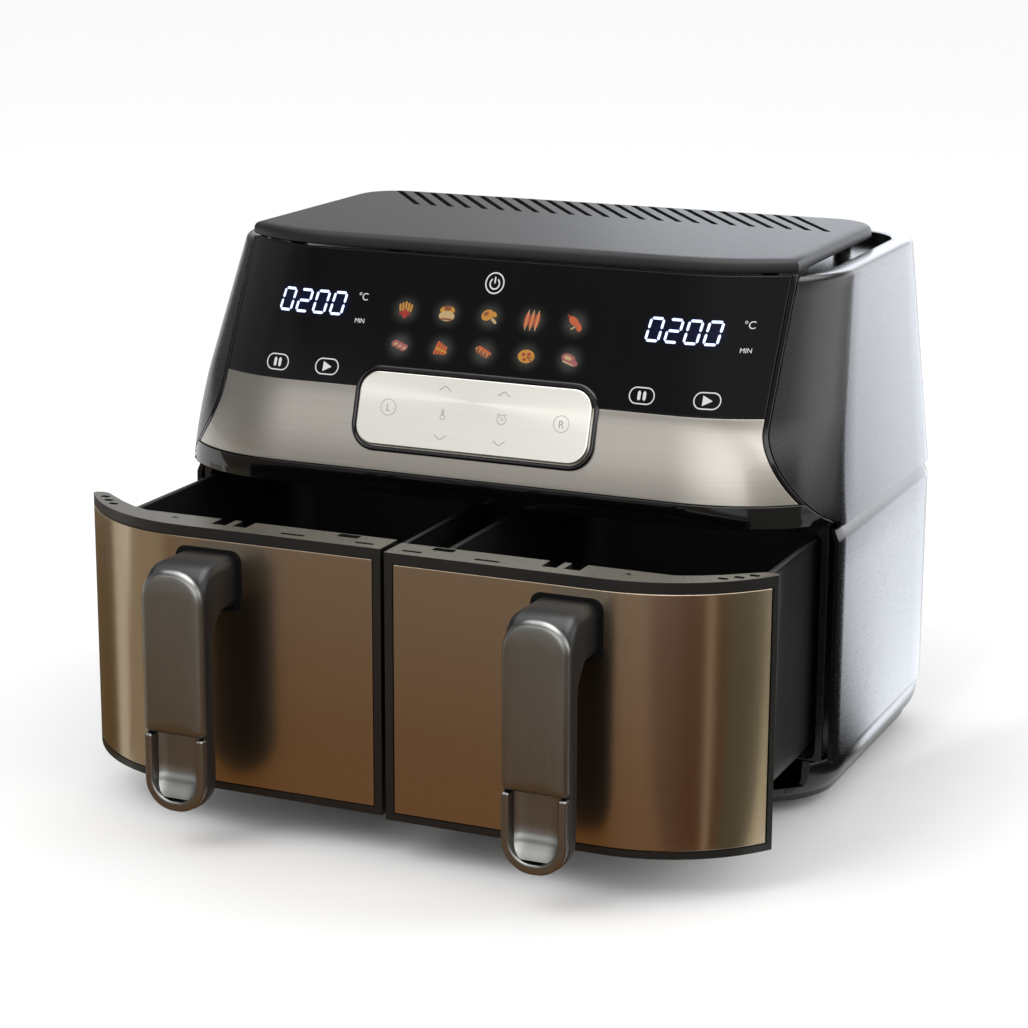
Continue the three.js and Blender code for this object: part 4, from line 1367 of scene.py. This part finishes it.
def section(centre, along, half_length, half_width, radius):
    """A rounded rectangle across a path: x is its width and along its length, in y and z."""
    radius = min(radius, half_length - 0.05, half_width - 0.05)
    outline = rounded(-half_width, half_width, -half_length, half_length, radius, 5)
    y, z = centre
    return [(HANDLE_X + x, y + along[0] * t, z + along[1] * t) for x, t in outline]


def handle_rings():
    """Sections up the grip, round the elbow and along the arm into the steel."""
    rings = []
    depth = (GRIP["back"] - GRIP["front"]) / 2
    middle = (GRIP["back"] + GRIP["front"]) / 2
    toe = 17.0
    edge, arm_edge, arm_half = 3.6, 5.5, 16.6
    for i in range(9):
        a = math.radians(mix(8, 90, i / 8))
        z = GRIP["low"] + toe * (1 - math.cos(a))
        width = 1 + (GRIP["half"] - 1) * math.sin(a)
        rings.append(section((middle, z), (-1, 0), depth * mix(0.86, 1, i / 8), width, edge))
    for i in range(1, 7):
        z = mix(GRIP["low"] + toe, GRIP["turn_z"], i / 6)
        rings.append(section((middle, z), (-1, 0), depth, GRIP["half"], edge))
    pivot = (GRIP["turn_y"], GRIP["turn_z"])
    inner = GRIP["turn_y"] - GRIP["back"]
    reach = (GRIP["turn_y"] - GRIP["front"], GRIP["top"] - GRIP["turn_z"])
    # The elbow's outside is a superellipse; a higher power makes a squarer corner.
    sharp = 5
    for i in range(1, 15):
        a = math.radians(90 * i / 14)
        away = (-math.cos(a), math.sin(a))
        total = (math.cos(a) / reach[0]) ** sharp + (math.sin(a) / reach[1]) ** sharp
        outer = total ** (-1 / sharp)
        half = (outer - inner) / 2
        centre = (pivot[0] + away[0] * (inner + half), pivot[1] + away[1] * (inner + half))
        width = mix(GRIP["half"], arm_half, max(0, i - 8) / 6)
        rings.append(section(centre, away, half, width, mix(edge, arm_edge, i / 14)))
    under = GRIP["turn_z"] + inner
    for i in range(1, 4):
        y = mix(GRIP["turn_y"], 0.8, i / 3)
        centre = (y, (under + GRIP["top"]) / 2)
        rings.append(section(centre, (0, 1), (GRIP["top"] - under) / 2, arm_half, arm_edge))
    return rings


def build_handle(side):
    grip = drawer_piece("handle_body", stack(handle_rings()), "handle_black_abs", side)
    inside = 1.2
    pocket = both_sides([*scoop_side(inside, 2)[:-1], (HANDLE_X + SCOOP["half"] - inside, 64.1)])
    drawer_cut(grip, prism(pocket, -50, -30.6, "y"), side)
    smooth(grip, 55)
    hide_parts(f"handle_{side}")

    # A dark plate round the arm where it enters the steel: painted shade standing in for the gap there.
    plate = rounded(HANDLE_X - 19.6, HANDLE_X + 19.6, 121.5, 154.6, 6, 8)
    gap_shade = drawer_piece("handle_gap_shade", prism(plate, -0.35, 0.6, "y"), "dark_gap", side)
    eased(gap_shade, 0.3, 2)


def arch(half, low, high, low_radius, high_radius, steps=14):
    """A plate outline in x and z with different corner radii below and above."""
    x = HANDLE_X
    return [
        *arc(x + half - low_radius, low + low_radius, low_radius, -90, 0, steps),
        *arc(x + half - high_radius, high - high_radius, high_radius, 0, 90, steps),
        *arc(x - half + high_radius, high - high_radius, high_radius, 90, 180, steps),
        *arc(x - half + low_radius, low + low_radius, low_radius, 180, 270, steps),
    ]


def build_handle_cover(side):
    """A satin cap on the upper grip: steep bevelled edge, slightly crowned face."""
    rings = []
    for y, inset in (
        (-36.8, 0), (-37.9, 0), (-38.5, 0.15), (-39.3, 0.7), (-40.0, 1.6), (-40.4, 2.6),
        (-40.55, 3.4), (-40.7, 5.5), (-40.95, 9), (-41, 12),
    ):
        low_radius = max(1.2, 2.6 - inset * 0.12)
        outline = arch(17.8 - inset, 64.5 + inset * 0.6, 152 - inset, low_radius, 16 - inset)
        rings.append([(x, y, z) for x, z in outline])
    cap = drawer_piece("handle_cap", stack(rings), "satin_chrome", side)
    smooth(cap, 60)
    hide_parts(f"handle_cover_{side}")


SCOOP = {"low": 22.7, "high": 63.3, "half": 17.4, "wall": 4.6, "sole": 5.4, "corner": 16.2}


def scoop_side(inward=0.0, lift=0.0):
    """Half of the scoop's U from its middle up its leg, moved inward and its curve lifted."""
    radius = SCOOP["corner"] - inward
    cx = HANDLE_X + SCOOP["half"] - SCOOP["corner"]
    curve = arc(cx, SCOOP["low"] + SCOOP["corner"] + lift, radius, -90, 0, 14)
    return [*curve, (HANDLE_X + SCOOP["half"] - inward, SCOOP["high"])]


def both_sides(half):
    """A half outline joined to its mirror image, across the handle's middle."""
    return half + [(2 * HANDLE_X - x, z) for x, z in half][::-1]


def build_handle_scoop(side):
    """The finger scoop below the cap: a U-shaped rim round a trough with a sloping foot."""
    inner = scoop_side(SCOOP["wall"], SCOOP["sole"] - SCOOP["wall"])
    rim_shape = both_sides(scoop_side() + inner[::-1])
    rim = drawer_piece("scoop_rim", prism(rim_shape, -40.7, -33, "y"), "satin_chrome", side)
    eased(rim, 1.3, 4, 50)
    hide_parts(f"handle_scoop_{side}")

    profile = [
        (-39.4, 29.7), (-38.8, 30.5), (-36.8, 32.9), (-34.2, 35.9), (-32.6, 38.3), (-31.8, 41.1),
        (-31.6, 46), (-31.6, 64.9),
    ]
    reach = SCOOP["half"] - SCOOP["wall"] + 0.6
    columns = 12
    # The trough's sides curl forwards, but stop short of the rim's face.
    foremost = -40.1

    def place(i, j):
        y, z = profile[j]
        curl = abs(2 * i / columns - 1) ** 6
        x = HANDLE_X + mix(-reach, reach, i / columns)
        return (x, max(y - 2.2 * curl, foremost), z)

    trough = grid(columns, len(profile) - 1, place)
    dish = drawer_piece("scoop_trough", trough, "satin_chrome", side)
    walled(dish, 0.8)
    smooth(settle(dish), 60)


def build_front_frame():
    sheet = cuboid(-188.4, 188.4, 45.3, 47.7, 31.6, 165.6)
    plate = seat("drawer_frame", sheet, "satin_black_abs", "body")
    holes = bmesh.new()
    for sign in SIDES.values():
        a, b = sorted((sign * 10.5, sign * 184))
        prism(rounded(a, b, 33, 158, 4), 40, 52, "y", holes)
    carved(plate, cutter(holes))
    eased(plate, 0.6, 3)
    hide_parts("front_frame")


def build_gland():
    """A stepped rubber bush in the rear wall."""
    profile = (
        (0, 0), (6.4, 0), (6.5, 0.3), (6.5, 7.4), (9.5, 7.8), (9.5, 9.2), (9, 9.8), (7.2, 13),
        (6.4, 15.4), (5.9, 15.7), (4.4, 15.7), (4.2, 15.2), (4.2, 13), (0, 13),
    )
    bm = turned(profile, (0, 0), 32)
    turn = Matrix.Rotation(math.radians(-90), 4, "X")
    place = Matrix.Translation((GLAND["x"], GLAND["y"], GLAND["z"])) @ turn
    bmesh.ops.transform(bm, matrix=place, verts=bm.verts[:])
    gland = seat("cord_bush", bm, "black_rubber", "body")
    smooth(gland)
    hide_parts("cord_gland")


# ---- stage --------------------------------------------------------------------------------


LIGHTS = (("key", (-1.0, -1.7, 2.2), 26), ("right_window", (1.7, 0.9, 0.9), 14))
LIGHT_SIZE = 1.6
LIGHT_AIM = (0, 0, 0.1)


def add_light(name, place, power):
    """A soft square light that looks at the fryer and doesn't show in its gloss."""
    data = bpy.data.lights.new(name, "AREA")
    data.shape = "RECTANGLE"
    data.size = LIGHT_SIZE
    data.size_y = LIGHT_SIZE
    data.energy = power
    lamp = bpy.data.objects.new(name, data)
    lamp.location = place
    lamp.rotation_euler = (Vector(LIGHT_AIM) - Vector(place)).to_track_quat("-Z", "Y").to_euler()
    lamp.visible_glossy = False
    bpy.context.scene.collection.objects.link(lamp)


def build_floor():
    """A wide pale worktop."""
    bm = bmesh.new()
    bmesh.ops.create_grid(bm, x_segments=1, y_segments=1, size=12)
    mesh = bpy.data.meshes.new("floor")
    bm.to_mesh(mesh)
    bm.free()
    floor = bpy.data.objects.new("floor", mesh)
    material, _, shader = new_material("pale_floor", 0.9)
    shader.inputs["Base Color"].default_value = linear("#f4f4f4")
    shader.inputs["Specular IOR Level"].default_value = 0.1
    mesh.materials.append(material)
    bpy.context.scene.collection.objects.link(floor)


# How bright the mirrored room is, by the sine of the height: 0 is the horizon, 1 is overhead.
ROOM_BAND = (
    (0.0, 0.22), (0.06, 0.5), (0.14, 0.85), (0.4, 0.85), (0.49, 0.1), (0.68, 0.1), (0.82, 1.6),
)


def build_world(looks):
    """White all round for the floor, with a band above the horizon that the gloss picks up."""
    world = bpy.data.worlds.new("studio")
    world.use_nodes = True
    tree = world.node_tree
    plain = tree.nodes["Background"]
    plain.inputs["Color"].default_value = linear("#ffffff")
    plain.inputs["Strength"].default_value = looks.room_light
    heading = add_node(tree, "TexCoord").outputs["Generated"]
    parts = add_node(tree, "SeparateXYZ", {"Vector": heading})
    band = add_node(tree, "ValToRGB", {"Fac": parts.outputs["Z"]})
    # The mirrored room is dimmer on the left and brighter from the middle to the right.
    sideways = spread_between(tree, parts.outputs["X"], 0.3, 2.7, (-0.75, 0.1))
    stops = band.color_ramp.elements
    for place, value in ROOM_BAND[2:]:
        stops.new(place)
    for stop, (place, value) in zip(stops, ROOM_BAND):
        stop.position = place
        stop.color = (value, value, value, 1)
    room = add_node(tree, "Background", {"Color": band.outputs["Color"], "Strength": sideways})
    glossy = add_node(tree, "LightPath").outputs["Is Glossy Ray"]
    both = add_node(tree, "MixShader", {0: glossy, 1: plain.outputs[0], 2: room.outputs[0]})
    tree.links.new(both.outputs[0], tree.nodes["World Output"].inputs["Surface"])
    bpy.context.scene.world = world


def reflector(name, corners, colour, strength):
    """A glowing card that only shows in reflections."""
    bm = bmesh.new()
    points = [bm.verts.new(corner) for corner in corners]
    bm.faces.new(points)
    mesh = bpy.data.meshes.new(name)
    bm.to_mesh(mesh)
    bm.free()
    material = bpy.data.materials.new(name)
    material.use_nodes = True
    tree = material.node_tree
    tree.nodes.clear()
    glow = add_node(tree, "Emission", {"Color": linear(colour), "Strength": strength})
    out = add_node(tree, "OutputMaterial")
    tree.links.new(glow.outputs[0], out.inputs["Surface"])
    mesh.materials.append(material)
    card = bpy.data.objects.new(name, mesh)
    card.visible_camera = False
    card.visible_diffuse = False
    card.visible_shadow = False
    card.visible_transmission = False
    bpy.context.scene.collection.objects.link(card)


# The surroundings that the gloss and the steel mirror. Cards on the worktop lie at slightly
# different heights, so that no two share a plane.
# A wooden table in front: name, x from and to, y from and to, height, colour, strength.
# It is greyer far off and browner near the drawers.
TABLE_CARDS = (
    ("far_table", -2.4, 2.4, -3.2, -0.55, 0.0020, "#85796a", 0.95),
    ("mid_table", -0.6, 0.75, -0.62, -0.36, 0.0024, "#866e55", 0.9),
    ("near_table", -0.6, 0.75, -0.4, -0.158, 0.0028, "#84603a", 0.85),
)
# Slices of a ring beside the drawers' bowed ends: name, heading from and to in degrees, radius
# from and to, height, colour, strength. A heading of 0 is straight ahead, 90 is to the right.
RIGHT_BOW = (0.165, -0.145)
RIGHT_SLICES = (
    ("right_brown", 8, 62, 0.06, 1.3, 0.0032, "#683c16", 0.62),
    ("right_olive", 62, 100, 0.03, 1.3, 0.0034, "#6c6a55", 0.62),
    ("right_streak", 48.6, 50.2, 0.05, 1.2, 0.0038, "#fff0d6", 1.25),
    ("right_glow", 90, 99, 0.05, 1.2, 0.0038, "#dcd8c4", 1.1),
)
LEFT_BOW = (-0.166, -0.144)
LEFT_SLICES = (
    ("left_pale", -74, -40, 0.04, 1.2, 0.0032, "#a89c86", 0.95),
    ("left_window", -95, -78, 0.03, 1.2, 0.0034, "#f4eee2", 0.8),
    ("left_gold", -150, -95, 0.03, 1.0, 0.0036, "#6f5a38", 0.8),
)
GLARE = "#f2f7ff"
FAR_EDGE = (0.505, 0.9)
# Other cards: name, corners, colour, strength.
LOOSE_CARDS = (
    # A grey wall in front on the right, for the bowed end of the steel strip.
    (
        "right_wall",
        ((0.72, -1.12, 0), (1.33, -0.36, 0), (1.33, -0.36, 0.5), (0.72, -1.12, 0.5)),
        "#8f8d86",
        1.0,
    ),
    # Right of the body: dark, so that the front corner of the shell stays black.
    (
        "dark_side",
        (
            (0.23, -0.12, 0.004), (2.4, -0.12, 0.004), (2.4, 2.4, 0.004), (1.08, 2.4, 0.004),
            (0.2, 0.075, 0.004),
        ),
        "#080808",
        1.0,
    ),
    # Behind on the right: a bright window and its light on the floor, for the shell's rear.
    (
        "rear_floor",
        ((0.2, 0.085, 0.004), (*FAR_EDGE, 0.004), (0.3, 0.9, 0.004), (0.2, 0.3, 0.004)),
        GLARE,
        4.0,
    ),
    (
        "rear_window",
        ((*FAR_EDGE, 0), (0.25, 0.9, 0), (0.25, 0.9, 0.42), (*FAR_EDGE, 0.42)),
        GLARE,
        4.1,
    ),
    (
        "rear_glow",
        ((0.25, 0.9, 0.3), (-0.3, 0.9, 0.4), (-0.3, 0.9, 0.8), (0.25, 0.9, 0.8)),
        GLARE,
        3.8,
    ),
)


def slice_corners(origin, start, end, near, far, height):
    """The corners of a slice of a ring round origin, between two headings and two radii."""
    line = [(r, math.radians(h)) for r, h in ((near, start), (far, start), (far, end), (near, end))]
    x, y = origin
    return [(x + r * math.sin(a), y - r * math.cos(a), height) for r, a in line]


def build_cards():
    for name, x0, x1, y0, y1, z, colour, strength in TABLE_CARDS:
        corners = ((x0, y0, z), (x1, y0, z), (x1, y1, z), (x0, y1, z))
        reflector(name, corners, colour, strength)
    for origin, slices in ((RIGHT_BOW, RIGHT_SLICES), (LEFT_BOW, LEFT_SLICES)):
        for name, start, end, near, far, z, colour, strength in slices:
            reflector(name, slice_corners(origin, start, end, near, far, z), colour, strength)
    for name, corners, colour, strength in LOOSE_CARDS:
        reflector(name, corners, colour, strength)


CAMERA = {"azimuth": 23.62, "elevation": 14.4, "roll": 0.26, "lens": 96.44}
CAMERA_PLACE = (0.59783, -1.36043, 0.52863)


def build_camera():
    """The camera, turned to its azimuth, elevation and roll."""
    data = bpy.data.cameras.new("camera")
    data.sensor_width = 36
    data.lens = CAMERA["lens"]
    data.clip_end = 50
    camera = bpy.data.objects.new("camera", data)
    azimuth = math.radians(CAMERA["azimuth"])
    elevation = math.radians(CAMERA["elevation"])
    roll = math.radians(CAMERA["roll"])
    out = math.cos(elevation)
    ahead = Vector((-math.sin(azimuth) * out, math.cos(azimuth) * out, -math.sin(elevation)))
    level = Vector((math.cos(azimuth), math.sin(azimuth), 0))
    up = level.cross(ahead)
    right = math.cos(roll) * level + math.sin(roll) * up
    top = -math.sin(roll) * level + math.cos(roll) * up
    camera.rotation_euler = Matrix((right, top, -ahead)).transposed().to_euler()
    camera.location = CAMERA_PLACE
    bpy.context.scene.collection.objects.link(camera)
    bpy.context.scene.camera = camera


# ---- the add-on ---------------------------------------------------------------------------


class FryerLooks(bpy.types.PropertyGroup):
    """What a user would change about the fryer's looks."""

    slot_count: bpy.props.IntProperty(
        name="Vent slots",
        description="Slanted slots across the top cover",
        default=SLOT["count"],
        min=8,
        max=26,
    )
    segment_glow: bpy.props.FloatProperty(
        name="Display glow",
        description="Strength of the display figures' light",
        default=2.0,
        min=0,
    )
    mark_glow: bpy.props.FloatProperty(
        name="Mark glow",
        description="Strength of the printed marks' light",
        default=0.75,
        min=0,
    )
    room_light: bpy.props.FloatProperty(
        name="Room light",
        description="Strength of the white room round the fryer",
        default=1.03,
        min=0,
    )
    symbol_glow: bpy.props.FloatProperty(
        name="Symbol glow",
        description="Strength of the food symbols' light",
        default=0.8,
        min=0,
    )


def looks_of(context):
    return context.scene.fryer_looks


class FRYER_OT_finishes(bpy.types.Operator):
    """Make the finishes and give the kept CAD nodes theirs"""

    bl_idname = "fryer.finishes"
    bl_label = "Finishes"

    def execute(self, context):
        make_materials(looks_of(context))
        finish_kept_nodes()
        return {"FINISHED"}


class FRYER_OT_body(bpy.types.Operator):
    """Build the shells, base, feet, grilles, drawer frame and cord bush"""

    bl_idname = "fryer.body"
    bl_label = "Body"

    def execute(self, context):
        build_upper_shell()
        build_lower_shell()
        build_grilles()
        build_base()
        build_feet()
        build_front_frame()
        build_gland()
        return {"FINISHED"}


class FRYER_OT_cover(bpy.types.Operator):
    """Build the vented top cover"""

    bl_idname = "fryer.cover"
    bl_label = "Top cover"

    def execute(self, context):
        build_cover(looks_of(context))
        return {"FINISHED"}


class FRYER_OT_fascia(bpy.types.Operator):
    """Build the fascia, its panels and the touch pad"""

    bl_idname = "fryer.fascia"
    bl_label = "Fascia"

    def execute(self, context):
        build_surround()
        build_panels()
        build_pad()
        return {"FINISHED"}


class FRYER_OT_marks(bpy.types.Operator):
    """Draw the lit figures, symbols and etched marks"""

    bl_idname = "fryer.marks"
    bl_label = "Marks"

    def execute(self, context):
        build_displays()
        build_window_marks()
        build_pad_marks()
        build_symbols()
        build_halos()
        return {"FINISHED"}


class FRYER_OT_drawers(bpy.types.Operator):
    """Build both drawers with their pans and crisper plates"""

    bl_idname = "fryer.drawers"
    bl_label = "Drawers"

    def execute(self, context):
        for side in SIDES:
            build_drawer_moulding(side)
            build_steel_skin(side)
            build_pan(side)
            build_crisper(side)
        return {"FINISHED"}


class FRYER_OT_handles(bpy.types.Operator):
    """Build both handles with their caps and finger scoops"""

    bl_idname = "fryer.handles"
    bl_label = "Handles"

    def execute(self, context):
        for side in SIDES:
            build_handle(side)
            build_handle_cover(side)
            build_handle_scoop(side)
        return {"FINISHED"}


class FRYER_OT_stage(bpy.types.Operator):
    """Set up the camera, the floor and the studio light"""

    bl_idname = "fryer.stage"
    bl_label = "Stage"

    def execute(self, context):
        build_camera()
        build_floor()
        build_world(looks_of(context))
        build_cards()
        for light in LIGHTS:
            add_light(*light)
        context.scene.view_settings.view_transform = "Standard"
        return {"FINISHED"}


OPERATORS = (
    FRYER_OT_stage,
    FRYER_OT_finishes,
    FRYER_OT_body,
    FRYER_OT_cover,
    FRYER_OT_fascia,
    FRYER_OT_marks,
    FRYER_OT_drawers,
    FRYER_OT_handles,
)


class FRYER_PT_panel(bpy.types.Panel):
    """Lists the fryer's steps in the sidebar"""

    bl_label = "Dual-drawer air fryer"
    bl_idname = "FRYER_PT_panel"
    bl_space_type = "VIEW_3D"
    bl_region_type = "UI"
    bl_category = "Fryer"

    def draw(self, context):
        looks = looks_of(context)
        for name in ("slot_count", "segment_glow", "mark_glow", "symbol_glow", "room_light"):
            self.layout.prop(looks, name)
        for operator in OPERATORS:
            self.layout.operator(operator.bl_idname)


CLASSES = (FryerLooks, *OPERATORS, FRYER_PT_panel)


def register():
    for cls in CLASSES:
        bpy.utils.register_class(cls)
    bpy.types.Scene.fryer_looks = bpy.props.PointerProperty(type=FryerLooks)


def unregister():
    del bpy.types.Scene.fryer_looks
    for cls in reversed(CLASSES):
        bpy.utils.unregister_class(cls)


def main():
    register()
    for operator in OPERATORS:
        area, name = operator.bl_idname.split(".")
        getattr(getattr(bpy.ops, area), name)()


if __name__ == "__main__":
    main()
